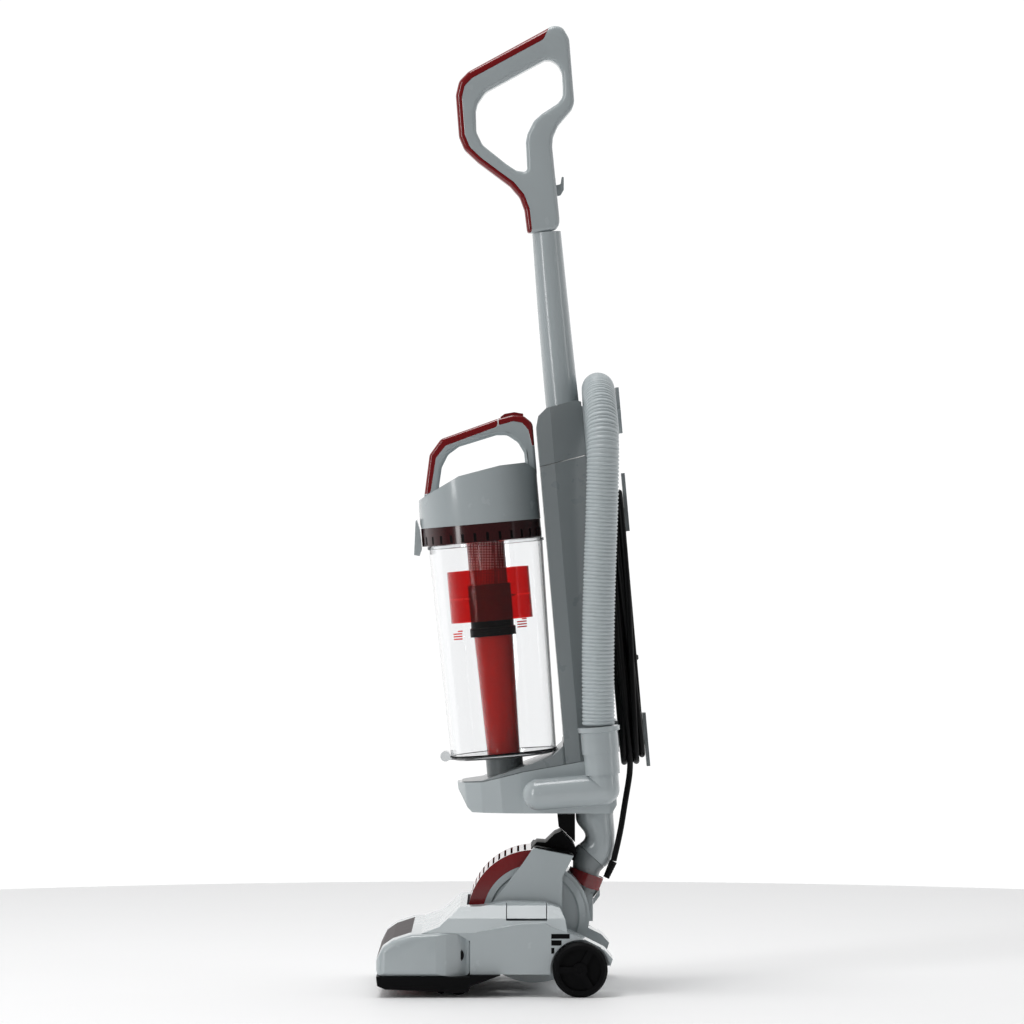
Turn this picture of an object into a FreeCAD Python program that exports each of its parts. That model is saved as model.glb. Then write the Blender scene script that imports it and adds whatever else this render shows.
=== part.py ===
"""Upright vacuum cleaner: floor head, yoke, leaning upright with dust cup, hose and wound cord.

Millimetres. +X is the user's left side, -Y the front and +Z up. The head and the yoke are drawn as they
stand on the floor. The upright is drawn vertical and then leans forward by Dims.lean about the drum's axis.
"""

import FreeCAD, Part
import math
import os
import Sketcher

V = FreeCAD.Vector
X_AXIS, Y_AXIS, Z_AXIS = V(1, 0, 0), V(0, 1, 0), V(0, 0, 1)

DIMENSIONS = [
    ("centre_y", -3.1), ("gap", 0.05),
    # drum, whose axis is also the recline axis
    ("drum_y", 25), ("drum_z", 83.5), ("drum_rad", 74.5), ("drum_rear_rad", 62), ("drum_half", 60),
    ("cover_rad", 58), ("lean", 5), ("steer_tilt", 43), ("steer_y", 90.5), ("steer_z", 148),
    # floor head
    ("head_half", 150), ("sole_top", 23), ("side_half", 140), ("side_bottom", 25),
    ("slot_half", 83), ("slot_rad", 77),
    ("wheel_y", 75.5), ("wheel_rad", 30.5), ("wheel_in", 128), ("wheel_out", 150), ("axle_rad", 4),
    ("roller_y", -59.5), ("roller_rad", 11), ("roller_in", 92), ("roller_out", 112),
    ("brush_y", -117), ("brush_z", 33), ("brush_rad", 17), ("bristle_rad", 24), ("brush_half", 122),
    ("pinion_y", -62), ("pinion_z", 46), ("pinion_rad", 7), ("pulley_rad", 14), ("rib_in", 122.5),
    ("rib_out", 126.5), ("belt_in", 128), ("belt_out", 135), ("belt_thick", 1.6),
    # yoke
    ("arm_in", 66), ("arm_out", 79), ("pivot_rad", 15), ("duct_rad", 19.5),
    ("bridge_half", 34), ("motor_rad", 36),
    # upright
    ("spine_half", 70), ("base_half", 72),
    ("pipe_x", 86), ("pipe_z", 220.5), ("pipe_rad", 17.5), ("cuff_x", 88), ("cuff_y", 115.2),
    ("hose_rad", 18.5), ("handle_half", 15), ("arch_rad", 90), ("arch_z", 579), ("arch_y", 149),
    # cord storage
    ("cord_rad", 3.5), ("post_rad", 15), ("coil_layers", 3), ("coil_deep", 4), ("coil_front", 138.2),
    ("post_low", 277), ("post_high", 517), ("hook_plate", 4), ("hook_y", 166.7),
    # dust cup
    ("cup_y", 6.5), ("cup_rad_top", 65), ("cup_rad_low", 60), ("cup_wall", 2.2), ("cup_low", 268),
    ("cup_high", 507.4), ("lid_y", 3), ("lid_rad", 68.5), ("lid_low", 528), ("carry_half", 12),
]

doc = FreeCAD.newDocument("upright_vacuum")
sheet = doc.addObject("Spreadsheet::Sheet", "Dims")


class Size:
    """A number that also knows the expression over the sheet that gives it."""

    def __init__(self, text, value):
        self.text, self.value = text, value

    def _join(self, sign, value, other, turned=False):
        text = other.text if isinstance(other, Size) else repr(other)
        first, second = (text, self.text) if turned else (self.text, text)
        return Size(f"({first} {sign} {second})", value)

    def __add__(self, other):
        return self._join("+", self.value + number(other), other)

    def __radd__(self, other):
        return self._join("+", self.value + number(other), other, True)

    def __sub__(self, other):
        return self._join("-", self.value - number(other), other)

    def __rsub__(self, other):
        return self._join("-", number(other) - self.value, other, True)

    def __mul__(self, other):
        return self._join("*", self.value * number(other), other)

    __rmul__ = __mul__

    def __neg__(self):
        return Size(f"(0 - {self.text})", -self.value)


def number(size):
    return size.value if isinstance(size, Size) else float(size)


class Named:
    """The sheet's dimensions as Size attributes."""


d = Named()
for row, (alias, value) in enumerate(DIMENSIONS, start=1):
    sheet.set(f"A{row}", str(value))
    sheet.setAlias(f"A{row}", alias)
    setattr(d, alias, Size(f"Dims.{alias}", float(value)))
doc.recompute()
PIECES = {}


# ---------------------------------------------------------------- building blocks

def bind(target, name, size):
    """Binds a property to the sheet, or sets it when the size is a plain number."""
    if isinstance(size, Size):
        target.setExpression(name, size.text)
    else:
        setattr(target, name, float(size))


def difference(high, low):
    return high - low if isinstance(high, Size) else (-low) + high


ORIGIN_PLANES = {"side": "YZ_Plane", "plan": "XY_Plane", "front": "XZ_Plane"}


def outline_sketch(body, name, plane, points):
    """A closed polygon whose every corner is dimensioned from the origin and bound to the sheet."""
    sketch = body.newObject("Sketcher::SketchObject", name)
    role = ORIGIN_PLANES[plane]
    sketch.AttachmentSupport = [(next(o for o in body.Origin.OriginFeatures if o.Role == role), "")]
    sketch.MapMode = "FlatFace"
    corners = [V(number(a), number(b), 0) for a, b in points]
    count = len(corners)
    lines = [Part.LineSegment(corners[i], corners[(i + 1) % count]) for i in range(count)]
    sketch.addGeometry(lines, False)
    for i in range(count):
        sketch.addConstraint(Sketcher.Constraint("Coincident", i, 2, (i + 1) % count, 1))
    for i, (a, b) in enumerate(points):
        for kind, size in (("DistanceX", a), ("DistanceY", b)):
            index = sketch.addConstraint(Sketcher.Constraint(kind, -1, 1, i, 1, number(size)))
            if isinstance(size, Size):
                sketch.setExpression(f"Constraints[{index}]", size.text)
    return sketch


def prism(name, plane, points, low, high):
    """An outline padded from low to high along X (side), Z (plan) or Y (front)."""
    body = doc.addObject("PartDesign::Body", name)
    sketch = outline_sketch(body, name + "_outline", plane, points)
    turned = plane == "front"
    start = -high if turned else low
    sketch.AttachmentOffset = FreeCAD.Placement(V(0, 0, number(start)), FreeCAD.Rotation())
    if isinstance(start, Size):
        sketch.setExpression("AttachmentOffset.Base.z", start.text)
    pad = body.newObject("PartDesign::Pad", name + "_pad")
    pad.Profile = sketch
    bind(pad, "Length", difference(high, low))
    doc.recompute()
    return body


def revolved(name, points, at=(0, 0), along="z"):
    """A turned body from (radius, height) points about Z at (x, y), or about X at (y, z)."""
    body = doc.addObject("PartDesign::Body", name)
    sketch = outline_sketch(body, name + "_outline", "front", points)
    turn = body.newObject("PartDesign::Revolution", name + "_turn")
    turn.Profile = sketch
    turn.ReferenceAxis = (sketch, ["V_Axis"])
    turn.Angle = 360
    doc.recompute()
    a, b = number(at[0]), number(at[1])
    if along == "z":
        body.Placement = FreeCAD.Placement(V(a, b, 0), FreeCAD.Rotation())
    else:
        body.Placement = FreeCAD.Placement(V(0, a, b), FreeCAD.Rotation(Y_AXIS, 90))
    return body


def disc(name, radius, low, high, at, along="x"):
    """A cylinder along X at (y, z), along Y at (x, z) or along Z at (x, y)."""
    made = doc.addObject("Part::Cylinder", name)
    bind(made, "Radius", radius)
    bind(made, "Height", difference(high, low))
    a, b, start = number(at[0]), number(at[1]), number(low)
    base, turn = {
        "x": (V(start, a, b), FreeCAD.Rotation(Y_AXIS, 90)),
        "y": (V(a, start, b), FreeCAD.Rotation(X_AXIS, -90)),
        "z": (V(a, b, start), FreeCAD.Rotation()),
    }[along]
    made.Placement = FreeCAD.Placement(base, turn)
    return made


def ball(name, radius, at):
    made = doc.addObject("Part::Sphere", name)
    bind(made, "Radius", radius)
    made.Placement = FreeCAD.Placement(V(*[number(a) for a in at]), FreeCAD.Rotation())
    return made


def block(name, low, high):
    """A box between two corners."""
    made = doc.addObject("Part::Box", name)
    for side, a, b in zip(("Length", "Width", "Height"), low, high):
        bind(made, side, difference(b, a))
    made.Placement = FreeCAD.Placement(V(*[number(a) for a in low]), FreeCAD.Rotation())
    return made


def fuse(name, *shapes):
    made = doc.addObject("Part::MultiFuse", name)
    made.Shapes = list(shapes)
    made.Refine = True
    doc.recompute()
    return made


def common(name, *shapes):
    made = doc.addObject("Part::MultiCommon", name)
    made.Shapes = list(shapes)
    made.Refine = True
    doc.recompute()
    return made


def cut(name, base, *tools):
    """Takes the tools off the base one after the other."""
    made = base
    for tool in tools:
        before, made = made, doc.addObject("Part::Cut", name)
        made.Base = before
        made.Tool = tool
        made.Refine = tool is tools[-1]
    doc.recompute()
    return made


def group(name, *shapes):
    """Several solids that are one sub-part."""
    made = doc.addObject("Part::Compound", name)
    made.Links = list(shapes)
    doc.recompute()
    return made


def mirrored(name, source):
    """The same shape on the other side of the machine's middle plane."""
    made = doc.addObject("Part::Mirroring", name)
    made.Source = source
    made.Normal = X_AXIS
    doc.recompute()
    return made


def both_sides(name, source):
    return source, mirrored(name, source)


def shaped(name, shape):
    made = doc.addObject("Part::Feature", name)
    made.Shape = shape
    return made


def loft(name, sections):
    """A solid through ellipses given as (centre, tilt back from vertical, half width, half depth)."""
    wires = []
    spots = [2 * math.pi * i / 16 for i in range(16)]
    for centre, tilt, half_width, half_depth in sections:
        curve = Part.BSplineCurve()
        curve.interpolate(Points=[V(half_width * math.cos(a), half_depth * math.sin(a), 0) for a in spots],
                          PeriodicFlag=True)
        ring = curve.toShape()
        ring.Placement = FreeCAD.Placement(centre, FreeCAD.Rotation(X_AXIS, -tilt))
        wires.append(Part.Wire([ring]))
    return shaped(name, Part.makeLoft(wires, True, False))


SHIFT = FreeCAD.Placement(V(0, number(d.centre_y), 0), FreeCAD.Rotation())
DRUM_CENTRE = V(0, number(d.drum_y), number(d.drum_z))
LEAN = FreeCAD.Placement(V(0, 0, 0), FreeCAD.Rotation(X_AXIS, number(d.lean)), DRUM_CENTRE)


def piece(node, source):
    """Names the object that is one sub-part and puts it in the machine's frame."""
    source.Label = node
    source.Placement = SHIFT.multiply(source.Placement)
    PIECES[node] = source
    return source


def opposite(node, source):
    """The mirror image of a sub-part that is already in place."""
    made = mirrored(node, source)
    made.Label = node
    PIECES[node] = made
    return made


def leaning(node, source):
    """A sub-part of the upright, which leans forward about the drum's axis."""
    source.Placement = LEAN.multiply(source.Placement)
    return piece(node, source)


def round_route(points, share=0.45):
    """Straight runs joined by tangent arcs, with the arcs' radii and the whole length."""
    radii, length, edges = [], 0.0, []
    at = points[0]
    for before_point, corner, after_point in zip(points, points[1:], points[2:]):
        before, after = corner - before_point, after_point - corner
        turn = before.getAngle(after)
        trim = share * min(before.Length, after.Length)
        radius = trim / math.tan(turn / 2)
        start = corner - before * (trim / before.Length)
        end = corner + after * (trim / after.Length)
        inward = after / after.Length - before / before.Length
        inward.normalize()
        middle = corner + inward * (radius / math.cos(turn / 2) - radius)
        edges += [Part.LineSegment(at, start).toShape(), Part.Arc(start, middle, end).toShape()]
        length += (start - at).Length + radius * turn
        radii.append(radius)
        at = end
    edges.append(Part.LineSegment(at, points[-1]).toShape())
    return Part.Wire(edges), radii, length + (points[-1] - at).Length


def tube_along(name, points, radius, wall=None):
    """A hose or cord on its route; prints its bends and how its volume compares with section times length."""
    wire, radii, length = round_route(points)

    def swept(size):
        return wire.makePipeShell([Part.Wire([Part.Circle(points[0], points[1] - points[0],
                                                          size).toShape()])],
                                  True, True)

    solid, area = swept(radius), math.pi * radius**2
    if wall:
        solid = solid.cut(swept(radius - wall))
        area -= math.pi * (radius - wall) ** 2
    print(f"{name}: tightest bend {min(radii):.1f} mm, length {length:.0f} mm, "
          f"volume ratio {solid.Volume / area / length:.4f}")
    return shaped(name, solid)


# ---------------------------------------------------------------- floor head

NOZZLE = [(-150.5, d.sole_top), (-150.5, 41.8), (-143.9, 55.1), (-132.8, 62.9), (-112.9, 69.5), (-79.7, 71.2),
          (-59.8, 69.5), (-46.5, 61.8), (-46.5, d.sole_top)]
NOZZLE_INSIDE = [(-147, d.sole_top - 1), (-147, 42), (-141, 53), (-131, 59.5), (-112.5, 66), (-80, 67.7),
                 (-61, 66), (-50, 59.5), (-50, d.sole_top - 1)]
POD = [(-46.5, d.side_bottom), (-46.5, 69.5), (-35.4, 72.8), (8.9, 80.6), (36.5, 81.7), (44.3, 77.2),
       (69.7, 68.4), (102.9, 51.8), (111.8, 41.8), (109, 34), (50.9, d.side_bottom)]
HUMP = [(-104.4, 60), (-104.4, 68.8), (-81.7, 76.8), (-64.7, 91.5), (-58, 98), (-35.7, 98.5), (-5.6, 103.4),
        (36.8, 102.3), (53.6, 96.7), (59.2, 84.5), (61.4, 71.1), (61.4, 60)]
HUMP_SECTION = [(-139, 60), (139, 60), (139, 71), (126, 86), (113, 99.5), (105, 103.5), (-105, 103.5),
                (-113, 99.5), (-126, 86), (-139, 71)]
SOLE = [(-150.5, d.sole_top), (-149.4, 13.1), (-140.5, 9.2), (-79.7, 7), (-63.1, 5.3), (-49, 6), (-45.8, 13),
        (-13, d.side_bottom - 0.4), (-13, d.side_bottom), (-46.5, d.side_bottom), (-46.5, d.sole_top)]
PIVOT = (d.drum_y, d.drum_z)
WHEEL = (d.wheel_y, d.wheel_rad)
BRUSH = (d.brush_y, d.brush_z)
PINION = (d.pinion_y, d.pinion_z)
ROLLER = (d.roller_y, d.roller_rad)


def drum_clearance(name):
    """The space that the drum, the arms and the duct sweep through between the head's sides."""
    return fuse(name, disc(name + "_disc", d.slot_rad, -d.slot_half, d.slot_half, PIVOT),
                block(name + "_rear", (-d.slot_half, d.drum_y, 0), (d.slot_half, 140, 140)))


def belt_hull(name, extra, low, high):
    """The straight-sided hull round the two pulleys, extra wider than they are."""
    centres = [V(number(low), number(y), number(z)) for y, z in (BRUSH, PINION)]
    radii = [number(d.pulley_rad) + extra, number(d.pinion_rad) + extra]
    span = centres[1] - centres[0]
    heading, spread = math.atan2(span.z, span.y), math.acos((radii[0] - radii[1]) / span.Length)
    corners = []
    for side in (1, -1):
        for centre, radius in zip(centres[::side], radii[::side]):
            angle = heading + side * spread
            corners.append(centre + V(0, math.cos(angle), math.sin(angle)) * radius)
    solid = Part.Face(Part.makePolygon(corners + corners[:1])).extrude(X_AXIS * (number(high) - number(low)))
    for centre, radius in zip(centres, radii):
        solid = solid.fuse(Part.makeCylinder(radius, number(high) - number(low), centre, X_AXIS))
    return shaped(name, solid.removeSplitter())


def make_head():
    outer = prism("nozzle_outer", "side", NOZZLE, -d.head_half, d.head_half)
    hollow = prism("nozzle_hollow", "side", NOZZLE_INSIDE, -d.head_half + 4, d.head_half - 4)
    shell = cut("nozzle_shell", outer, hollow)
    window_space = block("window_space", (-110, -152, 34), (110, -112, 80))
    rib = prism("nozzle_rib", "side", NOZZLE, d.rib_in, d.rib_out)
    ribs = both_sides("nozzle_rib_right", rib)
    bore = disc("brush_bore", 5 + d.gap, -130, 130, BRUSH)
    motor_bore = disc("pinion_bore", 2.5 + d.gap, 119, 130, PINION)
    piece("nozzle_housing", cut("nozzle_housing", fuse("nozzle_ribbed",
                                                       cut("nozzle_open", shell, window_space),
                                                       *ribs), bore, motor_bore))
    piece("nozzle_window", common("nozzle_window", shell, window_space))

    sole = prism("sole_block", "side", SOLE, -d.head_half, d.head_half)
    mouth = block("sole_mouth", (-120, -142, 0), (120, -92, 40))
    recess = block("roller_recess", (d.roller_in - 1.5, -73, 0), (d.roller_out + 1.5, -47.4, d.sole_top + 5))
    skid = disc("skid", 4.6, d.roller_in, d.roller_out, (-79, 6))
    blank = fuse("sole_with_skids", sole, *both_sides("skid_right", skid))
    pin = disc("roller_pin", 2.5, d.roller_in - 3, d.roller_out + 3, ROLLER)
    brush_recess = block("brush_recess", (-122.4, -136.5, 13.5), (136.4, -97.5, 45))
    belt_recess = block("belt_recess", (127, -98, 14.5), (136.4, -80, 45))
    sole_cut = cut("sole_cut", blank, mouth, brush_recess, belt_recess,
                   *both_sides("roller_recess_right", recess), drum_clearance("sole_slot"))
    piece("soleplate", fuse("soleplate", sole_cut, *both_sides("roller_pin_right", pin)))

    pod = prism("pod", "side", POD, d.slot_half, d.side_half)
    hump = common("hump", prism("hump_side", "side", HUMP, -d.side_half, d.side_half),
                  prism("hump_section", "front", HUMP_SECTION, -104.4, 61.4))
    solid = fuse("head_solid", hump, *both_sides("pod_right", pod))
    well = disc("wheel_well", d.wheel_rad + 2.5, d.wheel_in - 2, d.side_half + 1, WHEEL)
    well_low = block("wheel_well_low", (d.wheel_in - 2, d.wheel_y - 33, 0),
                     (d.side_half + 1, d.wheel_y + 45, 30))
    bearing = disc("pivot_bearing", d.pivot_rad + d.gap, d.slot_half - 1, 101.5, PIVOT)
    hollow_front = block("pod_hollow_front", (87, -43, 0), (135, 9.5, 64))
    hollow_mid = block("pod_hollow_mid", (87, -43, 0), (122, 40, 64))
    hollow_rear = block("pod_hollow_rear", (87, 39, 0), (122, 92, 46))
    slots = [block(f"vent_{i}", (d.side_half - 2, 43.5, low), (d.side_half + 1, rear, high))
             for i, (low, high, rear) in enumerate([(64.6, 70, 64), (57, 63, 55), (48, 54.6, 47)])]
    tray = block("vent_tray", (d.side_half - 6, 43, 47.5), (d.side_half - 2, 64.5, 70.5))
    pedal_space = block("pedal_space", (107.5, -6.6, 80), (128, 38.9, 110))
    sides = []
    for tool in (well, well_low, bearing, hollow_front, hollow_mid, hollow_rear, tray, *slots):
        sides += both_sides(tool.Name + "_right", tool)
    axle = disc("axle", d.axle_rad, 110, d.wheel_out - 1, WHEEL)
    axle_bore = disc("axle_bore", d.axle_rad, 110, d.wheel_out, WHEEL)
    hood_hollow = prism("hood_hollow", "side", [(-97, 62), (-97, 66), (-80, 72.5), (-63.5, 87), (-57, 94),
                                                (-57, 62)], -100, 100)
    piece("head_body", cut("head_body", solid, prism("nozzle_seat", "side", NOZZLE, -151, 151), hood_hollow,
                           drum_clearance("head_slot"), pedal_space, *sides,
                           *both_sides("axle_bore_right", axle_bore)))
    insert = common("vent_insert", tray, prism("vent_limit", "side", POD, 100, d.side_half),
                    cut("vent_edge", block("vent_room", (120, 43, 47.5), (140, 64.5, 70.5)),
                        disc("vent_arch", d.wheel_rad + 4, 119, 141, WHEEL)))
    piece("vent_inserts", group("vent_inserts", *both_sides("vent_insert_right", insert)))
    piece("rear_axles", group("rear_axles", *both_sides("axle_right", axle)))
    piece("brush_motor", disc("brush_motor", 11.5, 60, d.rib_in, PINION))
    outer_belt = belt_hull("belt_outer", number(d.belt_thick) + 0.05, d.belt_in, d.belt_out)
    piece("drive_belt", cut("drive_belt", outer_belt, belt_hull("belt_inner", 0.05, d.belt_in, d.belt_out)))

    pedal = common("pedal_body", block("pedal_block", (108, -5.6, 86), (127, 37.9, 110)),
                   prism("pedal_section", "front", HUMP_SECTION, -104.4, 61.4))
    piece("power_pedal", pedal)


def make_rolling_parts():
    tyre = [(19, d.wheel_in + 1), (27.5, d.wheel_in + 1), (d.wheel_rad, d.wheel_in + 4),
            (d.wheel_rad, d.wheel_out - 4),
            (27.5, d.wheel_out - 0.5), (23.5, d.wheel_out - 0.5), (23.5, d.wheel_out - 5),
            (8, d.wheel_out - 5),
            (8, d.wheel_out), (d.axle_rad + d.gap, d.wheel_out), (d.axle_rad + d.gap, d.wheel_in),
            (8, d.wheel_in), (8, d.wheel_out - 8), (19, d.wheel_out - 8)]
    wheel = revolved("wheel_turned", tyre, WHEEL, "x")
    spokes = []
    for i in range(3):
        spoke = block(f"spoke_{i}", (d.wheel_out - 6, -3.5, 6), (d.wheel_out - 1.5, 3.5, 25))
        turn = FreeCAD.Placement(V(0, number(d.wheel_y), number(d.wheel_rad)),
                                 FreeCAD.Rotation(X_AXIS, 120 * i + 90))
        spoke.Placement = turn.multiply(spoke.Placement)
        spokes.append(spoke)
    opposite("wheel_right", piece("wheel_left", fuse("wheel_solid", wheel, *spokes)))
    ring = [(2.5 + d.gap, d.roller_in), (9.5, d.roller_in), (d.roller_rad, d.roller_in + 1.5),
            (d.roller_rad, d.roller_out - 1.5), (9.5, d.roller_out), (2.5 + d.gap, d.roller_out)]
    opposite("roller_right", piece("roller_left", revolved("roller", ring, ROLLER, "x")))

    roll = [(0, -126.3), (5, -126.3), (5, -121.8), (d.brush_rad, -121.8), (d.brush_rad, d.brush_half - 0.2),
            (5, d.brush_half - 0.2), (5, d.belt_in - 0.4), (d.pulley_rad, d.belt_in - 0.4),
            (d.pulley_rad, d.belt_out + 0.4),
            (0, d.belt_out + 0.4)]
    rows = []
    for i in range(4):
        row = block(f"bristle_row_{i}", (-112, -1.6, d.brush_rad - 1), (112, 1.6, d.bristle_rad))
        turn = FreeCAD.Placement(V(0, number(d.brush_y), number(d.brush_z)),
                                 FreeCAD.Rotation(X_AXIS, 90 * i + 45))
        row.Placement = turn.multiply(row.Placement)
        rows.append(row)
    piece("brush_roll", fuse("brush_roll", revolved("roll_turned", roll, BRUSH, "x"), *rows))
    pinion = [(0, 123), (2.5, 123), (2.5, d.belt_in - 0.4), (d.pinion_rad, d.belt_in - 0.4),
              (d.pinion_rad, d.belt_out + 0.4), (0, d.belt_out + 0.4)]
    piece("motor_pinion", revolved("motor_pinion", pinion, PINION, "x"))


# ---------------------------------------------------------------- yoke, drum and motor

ARM = [(-23.6, 98.2), (-7, 119.2), (11.7, 143.5), (24, 161.3), (68.9, 152.4), (56.5, 129.1), (55.9, 93.8),
       (52, 70), (40, 57), (10, 57), (-10, 66), (-21, 82)]
BRIDGE = [(19, 156), (22.7, 159.6), (28, 165.3), (37.9, 164.6), (48.2, 174.4), (55.4, 177.5), (69.6, 163),
          (73.5, 153), (62, 128), (30, 130)]
BRIDGE_LOW = [(24, 161.3), (28, 162), (64, 155.5), (68.9, 152.4), (60, 135), (30, 135)]


def wedge(name, first, last, reach=110.0, half=90.0):
    """A sector about the drum's axis; angles run from the rear over the top to the front."""
    steps = max(2, round((last - first) / 40) + 1)
    angles = [math.radians(first + (last - first) * i / (steps - 1)) for i in range(steps)]
    points = [(d.drum_y, d.drum_z)]
    points += [(d.drum_y + reach * math.cos(a), d.drum_z + reach * math.sin(a)) for a in angles]
    return prism(name, "side", points, -half, half)


def drum_ring(name, inner, outer, half):
    return revolved(name, [(inner, -half), (outer, -half), (outer, half), (inner, half)], PIVOT, "x")


def make_yoke():
    bulk = fuse("drum_bulk", common("drum_big", disc("drum_full", d.drum_rad, -d.drum_half, d.drum_half,
                                                     PIVOT),
                                    wedge("drum_front", 88, 292)),
                disc("drum_small", d.drum_rear_rad, -d.drum_half, d.drum_half, PIVOT))
    inside = fuse("drum_inside",
                  common("inside_big", disc("inside_full", d.drum_rad - 2.5, -d.drum_half + 2.5,
                                            d.drum_half - 2.5, PIVOT),
                         wedge("inside_front", 90, 290)),
                  disc("inside_small", d.drum_rear_rad - 2.5, -d.drum_half + 2.5, d.drum_half - 2.5, PIVOT))
    shell = cut("drum_shell", bulk, inside, disc("drum_mouth", d.cover_rad, -61, 61, PIVOT))
    grille_zone = wedge("grille_zone", 90.5, 181)
    duct_mouth = duct_solid("duct_mouth", -2.4)
    bracket = block("lever_bracket", (-14, 78, 74.6), (14, 91.5, 106))
    housing = fuse("drum_bracketed", cut("drum_cut", shell, grille_zone),
                   cut("lever_bracket_cut", bracket, disc("bracket_seat", d.drum_rear_rad - 1, -20, 20,
                                                          PIVOT),
                       duct_solid("bracket_duct", 0.0)))
    piece("drum_housing", cut("drum_housing", housing, duct_mouth))
    slots = []
    for i in range(13):
        slot = block(f"grille_slot_{i}", (-52, -1.3, number(d.drum_rad) - 4),
                     (52, 1.3, number(d.drum_rad) + 2))
        turn = FreeCAD.Placement(DRUM_CENTRE, FreeCAD.Rotation(X_AXIS, 8 + 6 * i))
        slot.Placement = turn.multiply(slot.Placement)
        slots.append(slot)
    piece("exhaust_grille", cut("exhaust_grille", common("grille_ring", shell, grille_zone), *slots))
    cap = [(0, d.drum_half - 1.5), (d.cover_rad - 0.1, d.drum_half - 1.5),
           (d.cover_rad - 0.1, d.drum_half + 2.5),
           (51, d.drum_half + 2.5), (49, d.drum_half + 0.8), (0, d.drum_half + 0.8)]
    opposite("drum_cover_right", piece("drum_cover_left", revolved("drum_cover", cap, PIVOT, "x")))
    motor = [(4 + d.gap, -44), (d.motor_rad, -44), (d.motor_rad, 18), (4 + d.gap, 18)]
    fan = [(0, -50), (4, -50), (4, 24), (48, 24), (48, 38), (18, 43), (0, 43)]
    piece("motor_fan", revolved("motor_fan", fan, PIVOT, "x"))
    ring = drum_ring("mount_ring", d.motor_rad, 57, 4)
    spokes = common("mount_spokes", drum_ring("mount_disc", 50, d.drum_rad - 2.5, 4),
                    wedge("mount_zone", 200, 280))
    piece("suction_motor", fuse("suction_motor", revolved("motor_can", motor, PIVOT, "x"), ring, spokes))

    arm = fuse("arm_solid", prism("arm_plate", "side", ARM, d.arm_in, d.arm_out),
               disc("arm_boss", 30, d.drum_half + 0.8, d.arm_in + 1, PIVOT),
               disc("arm_pivot", d.pivot_rad, d.arm_out - 1, 100, PIVOT))
    opposite("yoke_arm_right", piece("yoke_arm_left", arm))
    room = disc("bridge_room", d.drum_rad + 0.5, -90, 90, PIVOT)
    low = prism("bridge_low", "side", BRIDGE_LOW, -d.arm_in, d.arm_in)
    high = prism("bridge_high", "side", BRIDGE, -d.bridge_half, d.bridge_half)
    piece("yoke_bridge", cut("yoke_bridge", fuse("bridge_solid", low, high), room,
                             duct_solid("bridge_duct", 0.0)))
    outer, inner = duct_solid("duct_outer", 0.0), duct_solid("duct_inner", -2.4)
    drum_room = disc("duct_drum_room", d.drum_rear_rad, -30, 30, PIVOT)
    piece("duct_stub", cut("duct_stub", outer, inner, drum_room))
    ring = revolved("collar_ring", [(18.2, -15), (21.6, -15), (21.6, 15), (18.2, 15)])
    ring.Placement = FreeCAD.Placement(V(0, 83.3, 120.5), FreeCAD.Rotation(X_AXIS, -21.6))
    saddle = prism("collar_side", "side", [(66, 136), (103.5, 122.5), (98, 108.5), (84, 113), (73, 120),
                                           (62, 125)], -24, 24)
    piece("duct_collar", cut("duct_collar", common("collar_saddle", ring, saddle),
                             disc("collar_drum_room", d.drum_rear_rad + 0.2, -30, 30, PIVOT),
                             duct_solid("collar_duct_room", 0.0)))
    lever = prism("release_lever", "side", [(92, 93), (99.4, 102.8), (99.4, 110), (92, 99)], -10, 10)
    piece("release_lever", lever)


def duct_solid(name, extra):
    """The clean-air duct from the swivel ring down into the drum."""
    tilt = number(d.steer_tilt)
    along = V(0, math.sin(math.radians(tilt)), math.cos(math.radians(tilt)))
    ring = V(0, number(d.steer_y), number(d.steer_z)) - along * 0.2
    size = number(d.duct_rad) + extra
    return loft(name, [(ring, tilt, size, size), (ring - along * 7, tilt, size, size),
                       (V(0, 84.5, 128), 21.6, size - 1.5, size - 2.8),
                       (V(0, 74, 104), 21.6, size - 1.5, size - 2.8)])


# ---------------------------------------------------------------- upright

BASE = [(-48.5, 239.6), (-48, 231.3), (-39.3, 211), (-34.5, 205), (121.9, 191.4), (128.4, 200.4),
        (131, 257.5),
        (94.5, 252.5), (27, 246.5), (-20.2, 238.6)]
BASE_HOLLOW = [(-32, 229), (-32, 211), (118, 197.5), (118, 248.5), (95, 247), (27, 241)]
BASE_PLAN = [(-72, 131), (-72, 24), (-68, 0), (-58, -22), (-40, -40), (-18, -48.5), (18, -48.5), (40, -40),
             (58, -22),
             (68, 0), (72, 24), (72, 131)]
SPINE_PLAN = [(-70, 75), (-70, 92), (-62, 106), (-50, 128), (50, 128), (62, 106), (70, 92), (70, 75)]
SPINE_HOLLOW = [(-66.5, 78.5), (-66.5, 91), (-59, 104), (-48, 124), (-48, 140), (48, 140), (48, 124),
                (59, 104),
                (66.5, 91), (66.5, 78.5)]
SPINE_LOW = [(75.4, 585.6), (75.2, 287.2), (73.8, 271.6), (60.4, 260.7), (27, 252), (-20.2, 240.4),
             (-43, 240),
             (-20.2, 238.8), (27, 246.7), (94.5, 252.7), (128, 257.3), (128, 594.9)]
SPINE_TOP = [(75.4, 585.8), (74.2, 627.4), (78.1, 642.8), (88.3, 651.2), (122.1, 657.4), (128, 655),
             (128, 595.1)]
LOOP = [(90.1, 850.8), (84.3, 851), (84, 858), (83.3, 876.8), (79.2, 891.8), (69.4, 905.4), (35.6, 935.7),
        (21.5, 951.4),
        (16.5, 966.4), (17, 1013.7), (22.1, 1029.6), (33.8, 1039.5), (134.1, 1083.5), (144.8, 1080.7),
        (151.2, 1066.6),
        (150.8, 994.8), (147.3, 986.6), (129.6, 969.3), (123, 957.1), (121.2, 946.3), (122.6, 850.8)]
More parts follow.
